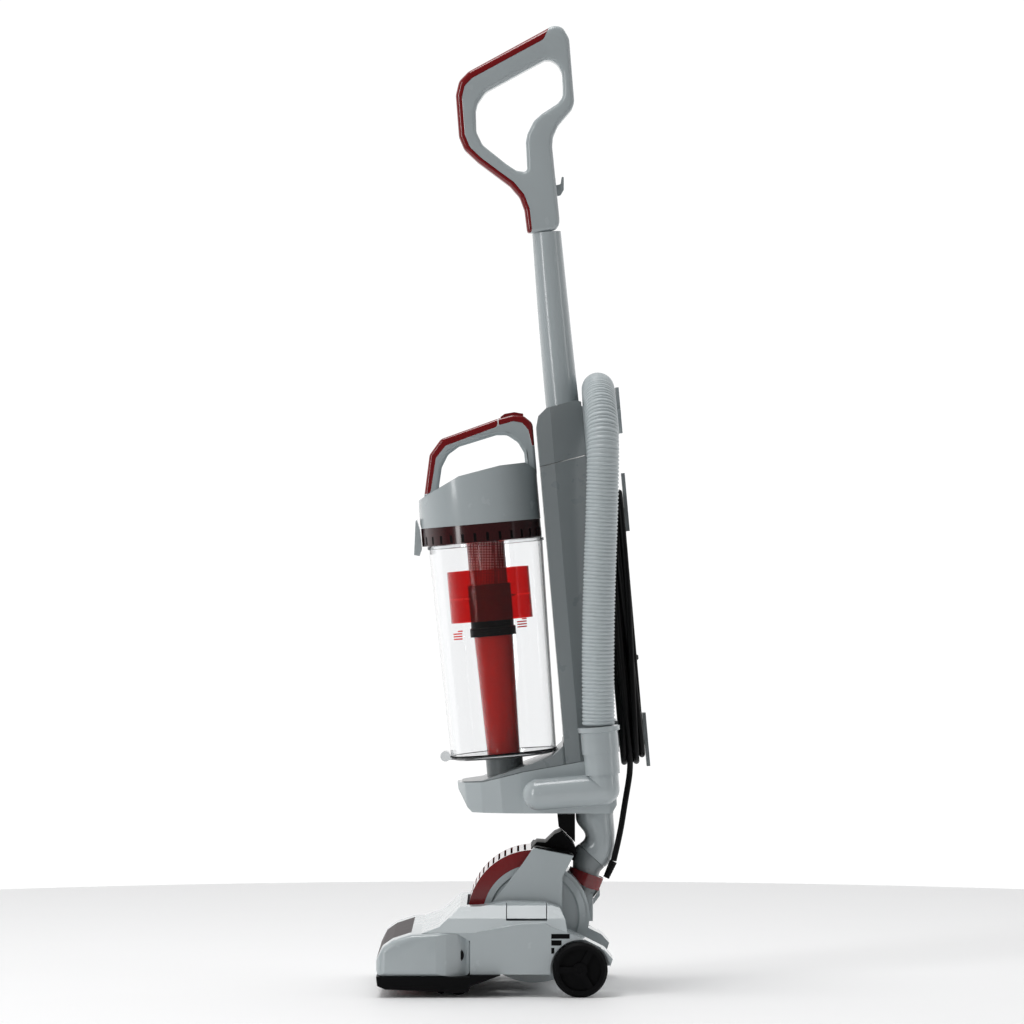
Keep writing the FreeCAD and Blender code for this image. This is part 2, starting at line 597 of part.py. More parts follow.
LOOP_HOLE = [(121.6, 1044.9), (51.6, 1014.4), (41.5, 1002.5), (38.5, 993.7), (37.1, 970.1), (42.8, 955),
             (68, 931),
             (78.1, 922.9), (90.6, 919.9), (91.8, 954.4), (94.4, 963.2), (102.9, 977.1), (112.7, 984.4),
             (131.8, 994.6), (137.9, 1001.4), (139, 1013.9), (139.3, 1028.5), (135.6, 1037.9),
             (128.8, 1043.6)]
GRIP_INSIDE = [(90.1, 850.8), (89.8, 878), (85, 895), (74.5, 910), (40.5, 940), (28.5, 953.5), (24, 968),
               (24.5, 1011),
               (28.5, 1023.5), (38, 1031.5), (122, 1068)]
GRIP = GRIP_INSIDE + [(126, 1090), (20, 1046), (5, 1035), (5, 955), (75, 885), (80, 850.8)]
NECK = [(51.5, 194.3), (52.7, 182.1), (57.4, 178.8), (71.2, 164.8), (71.2, 196), (51.5, 196)]


def make_base():
    solid = common("base_solid", prism("base_side", "side", BASE, -d.base_half, d.base_half),
                   prism("base_plan", "plan", BASE_PLAN, 180, 262))
    hollow = prism("base_hollow", "side", BASE_HOLLOW, -d.base_half + 18, d.base_half - 18)
    pipe = pipe_solid("base_pipe_room", 0.0)
    duct_hole = disc("base_duct_hole", 17, 180, 215, (0, 93.9), "z")
    duct_hole.Placement = LEAN.inverse().multiply(duct_hole.Placement)
    socket_room = disc("base_socket_room", 19.5, 237, 262, (d.cuff_x, d.cuff_y), "z")
    port_room = disc("base_port_room", 20.85, 239.9, 262, (-d.cuff_x, d.cuff_y), "z")
    shell = cut("base_shell", solid, hollow, pipe, duct_hole, socket_room, port_room)
    leaning("base_housing", shell)
    return solid


def pipe_solid(name, extra):
    """The hose pipe on the base's side: forward bulge, elbow and socket."""
    size = d.pipe_rad + extra
    made = fuse(name, disc(name + "_run", size, 41.5, d.cuff_y, (d.pipe_x, d.pipe_z), "y"),
                ball(name + "_nose", size, (d.pipe_x, 41.5, d.pipe_z)),
                ball(name + "_bend", size, (d.pipe_x, d.cuff_y, d.pipe_z)),
                disc(name + "_rise", size, d.pipe_z, 238, (d.pipe_x, d.cuff_y), "z"))
    made.Refine = False
    doc.recompute()
    return made


def make_hose_parts():
    bore = disc("pipe_bore", 14.5, 230, 262, (d.cuff_x, d.cuff_y), "z")
    socket = disc("pipe_socket", 19.5, 237, 260.6, (d.cuff_x, d.cuff_y), "z")
    spine_room = prism("pipe_spine_room", "plan", SPINE_PLAN, 200, 300)
    leaning("hose_elbow", cut("hose_elbow", fuse("elbow_solid", pipe_solid("elbow_pipe", 0.0), socket),
                              bore, spine_room))
    cuff = [(14.5, 260.7), (20.8, 260.7), (20.8, 284.5), (23.5, 285.5), (23.5, 290.7), (14.5, 290.7)]
    leaning("hose_cuff", revolved("hose_cuff", cuff, (d.cuff_x, d.cuff_y), "z"))
    port = revolved("port_ring", [(14.5, 240), (19.5, 240), (20.8, 262), (20.8, 284.5), (23.5, 285.5),
                                  (23.5, 290.7),
                                  (14.5, 290.7)], (-d.cuff_x, d.cuff_y), "z")
    foot = cut("port_foot", block("port_block", (-84, 97, 240), (-50, 128, 262)),
               disc("port_bore", 14.5, 235, 265, (-d.cuff_x, d.cuff_y), "z"),
               prism("port_spine_room", "plan", SPINE_PLAN, 200, 300),
               prism("port_base_room", "side", BASE, -72, 72))
    leaning("hose_port", fuse("hose_port", port, foot))
    leg = HOSE_LEG
    corner = number(d.arch_rad) * math.tan(math.radians(22.5))
    top = number(d.arch_z) + number(d.arch_rad)
    arch = [V(corner, number(d.arch_y), top), V(-corner, number(d.arch_y), top)]
    route = leg + arch + [V(-p.x, p.y, p.z) for p in reversed(leg)]
    print("hose route", [(round(p.x, 1), p.y, round(p.z, 1)) for p in route])
    leaning("hose", tube_along("hose", route, number(d.hose_rad), 2.0))
    saddle = common("hanger_arch", block("hanger_shelf", (-30, 128, 636), (30, 172, 655)),
                    disc("hanger_round", d.arch_rad - d.hose_rad - 1.5, 125, 175, (0, d.arch_z), "y"))
    lip = block("hanger_lip", (-26, 168.3, 616), (26, 172, 668))
    leaning("hose_hanger", cut("hose_hanger", fuse("hanger_solid", saddle, lip),
                               block("hanger_trim", (-40, 120, 600), (40, 131, 700))))


HOSE_LEG = [V(88, 115.2, 292.6), V(88.6, 119.6, 350), V(89.4, 125.3, 409), V(90, 133, 476), V(90, 141.5, 543),
            V(90, 149, 616.3)]


def make_spine():
    low = common("spine_low_solid", prism("spine_low_side", "side", SPINE_LOW, -d.base_half, d.base_half),
                 fuse("spine_low_plan", prism("spine_plan_low", "plan", SPINE_PLAN, 230, 610),
                      prism("cradle_plan", "plan", [(-72, 76)] + BASE_PLAN[1:-1] + [(72, 76)], 230, 262)))
    hollow = prism("spine_hollow", "plan", SPINE_HOLLOW, 262, 700)
    leaning("spine_lower", cut("spine_lower", low, hollow, pipe_solid("spine_pipe_room", 0.0)))
    top = common("spine_top_solid", prism("spine_top_side", "side", SPINE_TOP, -d.spine_half, d.spine_half),
                 prism("spine_plan_top", "plan", SPINE_PLAN, 580, 660))
    top_hollow = prism("spine_top_hollow", "plan", SPINE_HOLLOW, 580, 646)
    leaning("spine_cap", cut("spine_cap", top, top_hollow, wand_solid("wand_room")))
    plate = block("cover_plate", (-49, 128, 258), (49, 131, 650))
    pivot_hole = disc("hook_pivot_hole", 6 + d.gap, 120, 135, (0, d.post_high), "y")
    leaning("back_cover", cut("back_cover", plate, pivot_hole))
    seal = revolved("seal_turned", [(15, 240), (21, 240), (21, 262.2), (15, 262.2)], (0, d.cup_y), "z")
    below_cradle = [(-90, 200), (-90, 240), (-43, 240), (-20.2, 240.4), (27, 252), (60.4, 260.7),
                    (90, 260.7), (90, 200)]
    leaning("duct_seal", cut("duct_seal", seal, prism("cradle_room", "side", below_cradle, -80, 80)))


def wand_solid(name):
    return loft(name, [(V(0, 107.9, 612), 0, 19.5, 19.2), (V(0, 107.2, 656), 0, 19, 18.9),
                       (V(0, 106.35, 850.8), 0, 15.4, 16.3)])


def make_handle():
    wand = cut("wand_hollow", wand_solid("wand_outer"), loft("wand_inner", [
        (V(0, 107.9, 611), 0, 16.8, 16.5), (V(0, 107.2, 656), 0, 16.4, 16.3),
        (V(0, 106.35, 840), 0, 12.9, 13.8)]))
    leaning("handle_tube", wand)
    solid = cut("loop_solid", prism("loop_outer", "side", LOOP, -d.handle_half, d.handle_half),
                prism("loop_hole", "side", LOOP_HOLE, -20, 20))
    grip_zone = prism("grip_zone", "side", GRIP, -20, 20)
    clip = prism("clip", "side", [(120, 890), (126, 891), (130.2, 897), (131.6, 912), (128.8, 912),
                                  (127, 903.7), (120, 902.9)],
                 -3, 3)
    leaning("handle_loop", fuse("loop_with_clip", cut("loop_cut", solid, grip_zone), clip))
    leaning("handle_grip", common("handle_grip", solid, grip_zone))


def make_neck():
    bracket = prism("neck", "side", NECK, -30, 30)
    tilt = number(d.steer_tilt)
    along = V(0, math.sin(math.radians(tilt)), math.cos(math.radians(tilt)))
    ring = V(0, number(d.steer_y), number(d.steer_z)) + along * 0.3
    size = number(d.duct_rad)

    def elbow(name, extra):
        return loft(name, [(ring, tilt, size + extra, size + extra),
                           (ring + along * 9, tilt, size + extra, size + extra),
                           (V(0, 97.5, 172), 20, size + 0.7 + extra, size + 0.7 + extra),
                           (V(0, 93.9, 190), 0, size + 1.9 + extra, size + 1.9 + extra),
                           (V(0, 93.9, 200), 0, size + 1.9 + extra, size + 1.9 + extra)])

    outer = elbow("elbow_outer", 0.0)
    base_room = leaned_base("elbow_base_room")
    piece("duct_elbow", cut("duct_elbow", outer, elbow("elbow_inner", -2.5), base_room))
    piece("neck_bracket", cut("neck_bracket", bracket, leaned_base("neck_base_room"),
                              elbow("neck_elbow_room", 0.0)))


def leaned_base(name):
    made = prism(name, "side", BASE, -80, 80)
    made.Placement = LEAN.multiply(made.Placement)
    return made


# ---------------------------------------------------------------- cord and its hooks

CORD_DROP = [V(12, 147.6, 237.2), V(12, 145.5, 226), V(12, 141.8, 212), V(12, 137, 193.5), V(12, 129.5, 163),
             V(12, 119.8, 134.6)]
RELIEF_END = V(12, 109.8, 116.3)
PLUG_LEAD = [V(-40.2, 152, 426), V(-45, 152, 415), V(-54, 152, 406), V(-56, 152, 388.6)]


def make_cord_storage():
    turns = number(d.coil_layers) * 2 * number(d.cord_rad)
    outer = number(d.post_rad) + 0.3 + turns
    back = number(d.coil_front) + number(d.coil_deep) * 2 * number(d.cord_rad)

    def racetrack(name, radius):
        low, high = number(d.post_low), number(d.post_high)
        front = number(d.coil_front)
        return fuse(name, disc(name + "_low", radius, front, back, (0, low), "y"),
                    disc(name + "_high", radius, front, back, (0, high), "y"),
                    block(name + "_run", (-radius, front, low), (radius, back, high)))

    leaning("cord_winding", cut("cord_winding", racetrack("coil_outer", outer),
                                racetrack("coil_inner", number(d.post_rad) + 0.3)))
    leaning("cord_tails", group("cord_tails", tube_along("cord_drop", CORD_DROP, number(d.cord_rad)),
                                tube_along("plug_lead", PLUG_LEAD, number(d.cord_rad))))
    relief_top = CORD_DROP[-1] + V(0, -0.4, -0.8)
    axis = RELIEF_END - relief_top
    relief = Part.makeCone(4.6, 3.8, axis.Length, relief_top, axis)
    leaning("strain_relief", shaped("strain_relief", relief))

    low_post = disc("low_post", d.post_rad, 131, d.hook_y, (0, d.post_low), "y")
    low_plate = block("low_plate", (-13, d.hook_y, 238), (13, d.hook_y + d.hook_plate, 298.5))
    leaning("cord_hook_lower", fuse("cord_hook_lower", low_post, low_plate))
    high_post = disc("high_post", d.post_rad - 0.4, 131.3, d.hook_y, (0, d.post_high), "y")
    stub = disc("high_stub", 6, 124, 132, (0, d.post_high), "y")
    high_plate = block("high_plate", (-13, d.hook_y, 505), (13, d.hook_y + d.hook_plate, 571))
    leaning("cord_hook_upper", fuse("cord_hook_upper", high_post, stub, high_plate))

    body = revolved("plug_body", [(0, 350), (9, 350), (13, 354), (17.5, 358), (17.5, 362), (12, 366),
                                  (9, 376), (4.6, 387.9),
                                  (0, 387.9)], (-56, 152), "z")
    pins = [disc(f"plug_pin_{i}", 2.4, 331, 351, (-56 + side * 9.5, 152), "z") for i,
            side in enumerate((-1, 1))]
    leaning("plug", fuse("plug", body, *pins))


# ---------------------------------------------------------------- dust cup

LID = [(-64, d.lid_low), (-66.5, 538), (-64.5, 560), (-59.6, 562.7), (-16.7, 583.5), (30.7, 591.6),
       (59.3, 592.7),
       (71.5, 583), (71.5, d.lid_low)]
LID_INSIDE = [(-90, 520), (-90, 557), (-60, 558), (-17, 579), (30, 587), (90, 587), (90, 520)]
CARRY = [(-58.2, 560), (-58.2, 563.7), (-48, 610.7), (-33.4, 627.6), (33.3, 645.2), (50, 648), (62, 646),
         (71.8, 636.5),
         (71.8, 570), (59.3, 570), (59.1, 603.6), (53.2, 616), (41.6, 625.2), (29.6, 626.2), (-13.8, 616.8),
         (-26.8, 608.8), (-35.1, 595.3), (-39.9, 575.3), (-42, 560)]
CARRY_GRIP = [(-70, 568), (-52, 567), (-42.3, 608.2), (-29.8, 621.6), (32.5, 638.4), (32.5, 660), (-60, 660)]
LATCH = [(-67.4, 539), (-70, 537.4), (-75, 499.1), (-69, 497.4), (-65.6, 505), (-66, 527), (-68.4, 538)]
BUTTON = [(36, 640), (36, 646.6), (41, 649.6), (52, 650.6), (62, 648), (62, 640)]


def make_dust_cup():
    middle = (0, d.cup_y)
    wall = [(d.cup_rad_low - d.cup_wall, d.cup_low), (d.cup_rad_low, d.cup_low), (d.cup_rad_top, d.cup_high),
            (d.cup_rad_top - d.cup_wall, d.cup_high)]
    leaning("dust_cup", revolved("dust_cup", wall, middle, "z"))
    door = revolved("door_plate", [(0, 262.6), (54, 262.6), (d.cup_rad_low, 264.6), (d.cup_rad_low, 267.9),
                                   (0, 267.9)],
                    middle, "z")
    hinge = disc("door_hinge", 5.8, -14, 14, (-59.5, 269))
    strap = block("door_strap", (-10, -58, 264.2), (10, -50, 267.5))
    leaning("bottom_door", cut("bottom_door", fuse("door_solid", door, hinge, strap), dust_cup_room()))
    band = revolved("filter_ring", [(22, 513), (59, 513), (59, 507.5), (68, 507.5), (68, 527.9),
                                    (59, 527.9), (59, 525),
                                    (22, 525)], (0, d.lid_y), "z")
    leaning("filter_ring", band)
    lid = lid_dome("lid")
    lid_space = common("lid_space", prism("lid_inner_side", "side", LID_INSIDE, -70, 70),
                       disc("lid_inner_round", d.lid_rad - 3, 520, 600, (0, d.lid_y), "z"))
    leaning("cup_lid", cut("cup_lid", lid, lid_space))
    handle = prism("carry_solid", "side", CARRY, -d.carry_half, d.carry_half)
    grip_zone = prism("carry_grip_zone", "side", CARRY_GRIP, -20, 20)
    pocket = block("button_pocket", (-9.6, 35.4, 635.5), (9.6, 62.6, 660))
    leaning("carry_handle", cut("carry_handle", handle, grip_zone, pocket, lid_dome("handle_lid")))
    leaning("carry_grip", cut("carry_grip", common("carry_strip",
                                                   prism("carry_strip_solid", "side", CARRY, -d.carry_half,
                                                                       d.carry_half), grip_zone), lid_dome("grip_lid")))
    leaning("release_button", prism("release_button", "side", BUTTON, -9, 9))
    leaning("cup_latch", prism("cup_latch", "side", LATCH, -14, 14))
    leaning("shroud", revolved("shroud", [(19.5, 459), (21.5, 459), (21.5, 507.4), (19.5, 507.4)], middle,
                               "z"))
    leaning("cyclone_core", revolved("cyclone_core", [(0, 400.2), (26, 400.2), (26, 409.5), (24.3, 410.5),
                                                      (24.3, 458.8),
                                                      (0, 458.8)], middle, "z"))
    leaning("inner_tube", revolved("inner_tube", [(16.8, 268), (18.8, 268), (22.2, 400), (20.2, 400)],
                                   middle, "z"))
    skirt = [(24.4, 444), (45, 444), (45, 418), (46.5, 418), (46.5, 476), (45, 476), (45, 446), (24.4, 446)]
    leaning("cyclone_skirt", revolved("cyclone_skirt", skirt, middle, "z"))


def dust_cup_room():
    return disc("cup_room", d.cup_rad_low + 0.4, d.cup_low, 300, (0, d.cup_y), "z")


def lid_dome(name):
    """The lid's outer form, also used as the room for it."""
    return common(name + "_dome", prism(name + "_side", "side", LID, -70, 70),
                  disc(name + "_round", d.lid_rad, 520, 600, (0, d.lid_y), "z"))


def write_parts():
    """Checks every object and writes one STEP file for each sub-part."""
    os.makedirs("parts", exist_ok=True)
    doc.recompute()
    for item in doc.Objects:
        if {"Invalid", "Error"} & set(item.State):
            raise RuntimeError(f"{item.Name} did not build: {item.State}")
    for node, item in PIECES.items():
        shape = item.Shape
        if shape.isNull() or not shape.isValid() or not shape.Solids:
            raise RuntimeError(f"{node} has no valid solid")
        shape.exportStep(f"parts/{node}.step")
        box = shape.BoundBox
        print(f"{node:18s} solids {len(shape.Solids)} volume {shape.Volume / 1000:8.1f} cm3  "
              f"x {box.XMin:7.1f} {box.XMax:7.1f}  y {box.YMin:7.1f} {box.YMax:7.1f}  z {box.ZMin:7.1f} {box.ZMax:7.1f}")
    print(len(PIECES), "sub-parts")


make_head()
make_rolling_parts()
make_yoke()
make_base()
make_hose_parts()
make_spine()
make_handle()
make_neck()
make_cord_storage()
make_dust_cup()
write_parts()
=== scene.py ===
import math

import bmesh
import bpy
from bpy.props import FloatProperty, FloatVectorProperty, IntProperty, PointerProperty
from mathutils import Matrix, Vector


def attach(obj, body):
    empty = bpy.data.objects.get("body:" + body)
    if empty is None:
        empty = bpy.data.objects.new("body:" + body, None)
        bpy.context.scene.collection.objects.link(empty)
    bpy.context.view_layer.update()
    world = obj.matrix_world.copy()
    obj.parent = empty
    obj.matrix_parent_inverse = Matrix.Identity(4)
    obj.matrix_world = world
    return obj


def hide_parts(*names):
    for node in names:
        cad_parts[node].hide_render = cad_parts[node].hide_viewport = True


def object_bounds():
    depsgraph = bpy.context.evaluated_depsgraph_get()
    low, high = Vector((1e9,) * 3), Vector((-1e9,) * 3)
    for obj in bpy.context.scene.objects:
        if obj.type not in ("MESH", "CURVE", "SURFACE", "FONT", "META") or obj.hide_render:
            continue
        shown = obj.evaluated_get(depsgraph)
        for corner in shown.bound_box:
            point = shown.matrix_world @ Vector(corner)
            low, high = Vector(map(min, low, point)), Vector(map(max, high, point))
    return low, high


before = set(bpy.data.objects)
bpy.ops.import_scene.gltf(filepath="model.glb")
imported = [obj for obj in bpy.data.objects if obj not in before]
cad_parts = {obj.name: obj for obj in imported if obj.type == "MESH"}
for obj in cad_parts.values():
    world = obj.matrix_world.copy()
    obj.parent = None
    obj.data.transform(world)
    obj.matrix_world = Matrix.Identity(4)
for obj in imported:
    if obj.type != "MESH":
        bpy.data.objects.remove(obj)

bl_info = {
    "name": "Upright Vacuum Cleaner",
    "version": (1, 0, 0),
    "blender": (4, 5, 0),
    "location": "View3D > Sidebar > Cleaner",
    "description": "Dresses the framed upright vacuum cleaner with moulded pieces, hose, cord and materials",
    "category": "Object",
}

MM = 0.001

# Places and sizes in millimetres, with the upright drawn vertical.
HANDLE_SEAM = 0.25
CARRY_SEAM = 0.2
CUP_Y = 6.5
RING_Y = 3.0
LID_RADIUS = 68.4
WALL_RADIUS = 63.1
MARK_WIDTHS = (12.5, 12.5, 12.5, 6.5)
MARK_HEIGHT = 1.5
MARK_STEP = 2.9
TOOTH_COUNT = 30
RELIEF_START, RELIEF_END = (12, 109.8, 116.3), (12, 119.4, 133.8)

# The camera's place in metres and its lens.
CAMERA_X, CAMERA_Z = 6.0, 0.5376
LENS = 185.9

# The hose's ribs as shares of their depth, and steps along the routes in metres.
RIB = (0.0, 0.45, 0.9, 1.0, 0.9, 0.45)
RIB_DEPTH = 0.0013
CORD_STEP = 0.006

CAD_BOX = [list(corner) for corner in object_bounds()]
PIVOT_Y, PIVOT_Z = 25.0, 83.5
CENTRE_Y = -3.1
LEAN = math.radians(5.0)
UPRIGHT = (Matrix.Translation((0, (PIVOT_Y + CENTRE_Y) * MM, PIVOT_Z * MM)) @ Matrix.Rotation(LEAN, 4, "X")
           @ Matrix.Translation((0, -PIVOT_Y * MM, -PIVOT_Z * MM)))
STANDING = Matrix.Translation((0, CENTRE_Y * MM, 0))

# Side outlines in millimetres, (towards the back, up), with the upright drawn vertical.
LOOP = [(90.5, 851), (84.3, 851.2), (84, 858), (83.3, 876.8), (79.2, 891.8), (69.4, 905.4), (35.6, 935.7),
        (21.5, 951.4),
        (16.7, 966.4), (17.2, 1013.7), (22.3, 1029.4), (33.8, 1039.3), (134.1, 1083.2), (144.6, 1080.5),
        (151, 1066.6),
        (150.6, 994.8), (147.1, 986.6), (129.6, 969.3), (123, 957.1), (121.2, 946.3), (122.5, 851)]
LOOP_HOLE = [(121.6, 1044.9), (51.6, 1014.4), (41.5, 1002.5), (38.5, 993.7), (37.1, 970.1), (42.8, 955),
             (68, 931),
             (78.1, 922.9), (90.6, 919.9), (91.8, 954.4), (94.4, 963.2), (102.9, 977.1), (112.7, 984.4),
             (131.8, 994.6), (137.9, 1001.4), (139, 1013.9), (139.3, 1028.5), (135.6, 1037.9),
             (128.8, 1043.6)]
GRIP = [(90.5, 851), (89.8, 878), (85, 895), (74.5, 910), (40.5, 940), (28.5, 953.5), (24, 968),
        (24.5, 1011),
        (28.5, 1023.5), (38, 1031.5), (122, 1068), (134.1, 1090), (20, 1046), (5, 1035), (5, 955),
        (75, 885), (80, 851)]
CLIP = [(120.5, 890), (126, 891), (130.2, 897), (131.4, 911.8), (128.8, 911.8), (127, 903.7), (120.5, 902.9)]
CARRY = [(-58.2, 561), (-58.1, 563.7), (-47.9, 610.7), (-33.4, 627.5), (33.3, 645), (50, 647.9),
         (62, 645.9), (71.7, 636.5),
         (71.7, 575), (59.3, 575), (59.1, 603.6), (53.2, 616), (41.6, 625.2), (29.6, 626.2), (-13.8, 616.8),
         (-26.8, 608.8), (-35.1, 595.3), (-39.9, 575.3), (-42, 561)]
CARRY_GRIP = [(-70, 568), (-50.6, 566), (-40.6, 606.6), (-28.6, 619.2), (32.5, 636), (32.5, 660),
              (-70, 660)]
BUTTON_ROOM = ((-9.6, 35.4, 635.5), (9.6, 62.6, 660))
CARRY_CROWN = [(33.2, 660), (33.2, 637.2), (50, 640.3), (60, 637.6), (66, 629), (68.6, 611), (78, 611),
               (78, 660)]
LID = [(-64, 528), (-66.4, 538), (-64.4, 560), (-59.6, 562.6), (-16.7, 583.3), (30.7, 591.4), (59.3, 592.5),
       (71.4, 583), (71.4, 528)]
SPINE_TOP = [(75.5, 586), (74.4, 627.4), (78.3, 642.6), (88.3, 651), (122.1, 657.2), (128, 655),
             (128, 595.3)]
SPINE_LOW = [(75.5, 585.2), (75.4, 287.2), (74, 271.6), (60.4, 260.9), (27, 252), (-20.2, 240.3),
             (-43, 240),
             (-20.2, 239), (27, 246.9), (94.5, 252.9), (128, 257.4), (128, 594.3)]
BASE = [(-48.3, 239.3), (-47.9, 231.3), (-39.3, 211), (-34.5, 205.2), (121.9, 191.6), (128.2, 200.4),
        (130.8, 257.2),
        (94.5, 252.3), (27, 246.3), (-20.2, 238.5)]
BASE_PLAN = [(-72, 131), (-72, 24), (-68, 0), (-58, -22), (-40, -40), (-18, -48.4), (18, -48.4),
             (40, -40), (58, -22),
             (68, 0), (72, 24), (72, 131)]
SPINE_PLAN = [(-70, 75.2), (-70, 92), (-62, 106), (-50, 128), (50, 128), (62, 106), (70, 92), (70, 75.2)]
CRADLE_PLAN = [(-72, 76)] + BASE_PLAN[1:-1] + [(72, 76)]
NOZZLE = [(-150.4, 23), (-150.4, 41.8), (-143.9, 55.1), (-132.8, 62.9), (-112.9, 69.4), (-79.7, 71.1),
          (-59.8, 69.4), (-46.6, 61.8), (-46.6, 23)]
NOZZLE_PLAN = [(-150.2, -140), (-147, -147.5), (-140, -150.6), (140, -150.6), (147, -147.5), (150.2, -140),
               (150.2, -98), (149, -84), (146, -73), (141, -65), (136, -58), (131.8, -51), (131.4, -46.4),
               (-131.4, -46.4), (-131.8, -51), (-136, -58), (-141, -65), (-146, -73), (-149, -84),
               (-150.2, -98)]
NOZZLE_INSIDE = [(-146, 15), (-146, 41), (-140, 52), (-130, 58.5), (-112, 65), (-80, 66.7),
                 (-62, 65), (-51, 58.5), (-51, 15)]

# Routes in millimetres with the upright drawn vertical: the same points as the frame's hose and cord.
HOSE_LEG = [(88, 115.2, 292.6), (88.6, 119.6, 350), (89.4, 125.3, 409), (90, 133, 476), (90, 141.5, 543),
            (90, 149, 616.3)]
HOSE_ARCH = [(37.3, 149, 669), (-37.3, 149, 669)]
CORD_DROP = [(12, 147.6, 237.2), (12, 145.5, 226), (12, 141.8, 212), (12, 137, 193.5), (12, 129.5, 163),
             (12, 119.8, 134.6)]
PLUG_LEAD = [(-40.2, 152, 426), (-45, 152, 415), (-54, 152, 406), (-56, 152, 388.6)]


# ---------------------------------------------------------------- materials

def surface_group():
    """Shared moulding effects: slow colour drift, faint handling wear and a fine skin texture."""
    group = bpy.data.node_groups.get("moulded_skin")
    if group:
        return group
    group = bpy.data.node_groups.new("moulded_skin", "ShaderNodeTree")
    face = group.interface
    face.new_socket("Colour", in_out="INPUT", socket_type="NodeSocketColor")
    for label, start in (("Drift", 0.04), ("Roughness", 0.3), ("Spread", 0.05), ("Grain Scale", 900.0),
                         ("Grain", 0.02)):
        face.new_socket(label, in_out="INPUT", socket_type="NodeSocketFloat").default_value = start
    face.new_socket("Colour", in_out="OUTPUT", socket_type="NodeSocketColor")
    face.new_socket("Roughness", in_out="OUTPUT", socket_type="NodeSocketFloat")
    face.new_socket("Normal", in_out="OUTPUT", socket_type="NodeSocketVector")
    nodes, link = group.nodes, group.links.new
    start, end = nodes.new("NodeGroupInput"), nodes.new("NodeGroupOutput")
    place = nodes.new("ShaderNodeTexCoord")
    slow, smear, grain = (nodes.new("ShaderNodeTexNoise") for _ in range(3))
    slow.inputs["Scale"].default_value = 9.0
    slow.inputs["Detail"].default_value = 3.0
    smear.inputs["Scale"].default_value = 45.0
    smear.inputs["Detail"].default_value = 6.0
    grain.inputs["Detail"].default_value = 2.0
    for noise in (slow, smear, grain):
        link(place.outputs["Object"], noise.inputs["Vector"])
    link(start.outputs["Grain Scale"], grain.inputs["Scale"])
    centred = nodes.new("ShaderNodeMath")
    centred.operation = "SUBTRACT"
    centred.inputs[1].default_value = 0.5
    link(slow.outputs["Fac"], centred.inputs[0])
    drift = nodes.new("ShaderNodeMath")
    drift.operation = "MULTIPLY_ADD"
    drift.inputs[2].default_value = 1.0
    link(centred.outputs[0], drift.inputs[0])
    link(start.outputs["Drift"], drift.inputs[1])
    tint = nodes.new("ShaderNodeHueSaturation")
    link(start.outputs["Colour"], tint.inputs["Color"])
    link(drift.outputs[0], tint.inputs["Value"])
    link(tint.outputs["Color"], end.inputs["Colour"])
    wear = nodes.new("ShaderNodeMapRange")
    wear.inputs["From Min"].default_value = 0.3
    wear.inputs["From Max"].default_value = 0.7
    wear.inputs["To Min"].default_value = -1.0
    wear.inputs["To Max"].default_value = 1.0
    link(smear.outputs["Fac"], wear.inputs["Value"])
    rough = nodes.new("ShaderNodeMath")
    rough.operation = "MULTIPLY_ADD"
    link(wear.outputs["Result"], rough.inputs[0])
    link(start.outputs["Spread"], rough.inputs[1])
    link(start.outputs["Roughness"], rough.inputs[2])
    link(rough.outputs[0], end.inputs["Roughness"])
    bump = nodes.new("ShaderNodeBump")
    bump.inputs["Distance"].default_value = 0.0002
    link(start.outputs["Grain"], bump.inputs["Strength"])
    link(grain.outputs["Fac"], bump.inputs["Height"])
    link(bump.outputs["Normal"], end.inputs["Normal"])
    return group


def plastic(name, colour, roughness, drift=0.04, spread=0.04, grain=0.05, grain_scale=900.0, coat=0.0,
            transmission=0.0, ior=1.46, specular=0.5):
    """A moulded plastic with the shared skin effects."""
    name = "look_" + name  # the frame already holds materials under the plain names
    material = bpy.data.materials.get(name)
    if material:
        return material
    material = bpy.data.materials.new(name)
    material.use_nodes = True
    nodes, link = material.node_tree.nodes, material.node_tree.links.new
    shader = nodes["Principled BSDF"]
    skin = nodes.new("ShaderNodeGroup")
    skin.node_tree = surface_group()
    skin.inputs["Colour"].default_value = (*colour, 1.0)
    skin.inputs["Drift"].default_value = drift
    skin.inputs["Roughness"].default_value = roughness
    skin.inputs["Spread"].default_value = spread
    skin.inputs["Grain"].default_value = grain
    skin.inputs["Grain Scale"].default_value = grain_scale
    link(skin.outputs["Colour"], shader.inputs["Base Color"])
    link(skin.outputs["Roughness"], shader.inputs["Roughness"])
    link(skin.outputs["Normal"], shader.inputs["Normal"])
    shader.inputs["IOR"].default_value = ior
    shader.inputs["Specular IOR Level"].default_value = specular
    shader.inputs["Coat Weight"].default_value = coat
    shader.inputs["Coat Roughness"].default_value = 0.06
    shader.inputs["Transmission Weight"].default_value = transmission
    return material


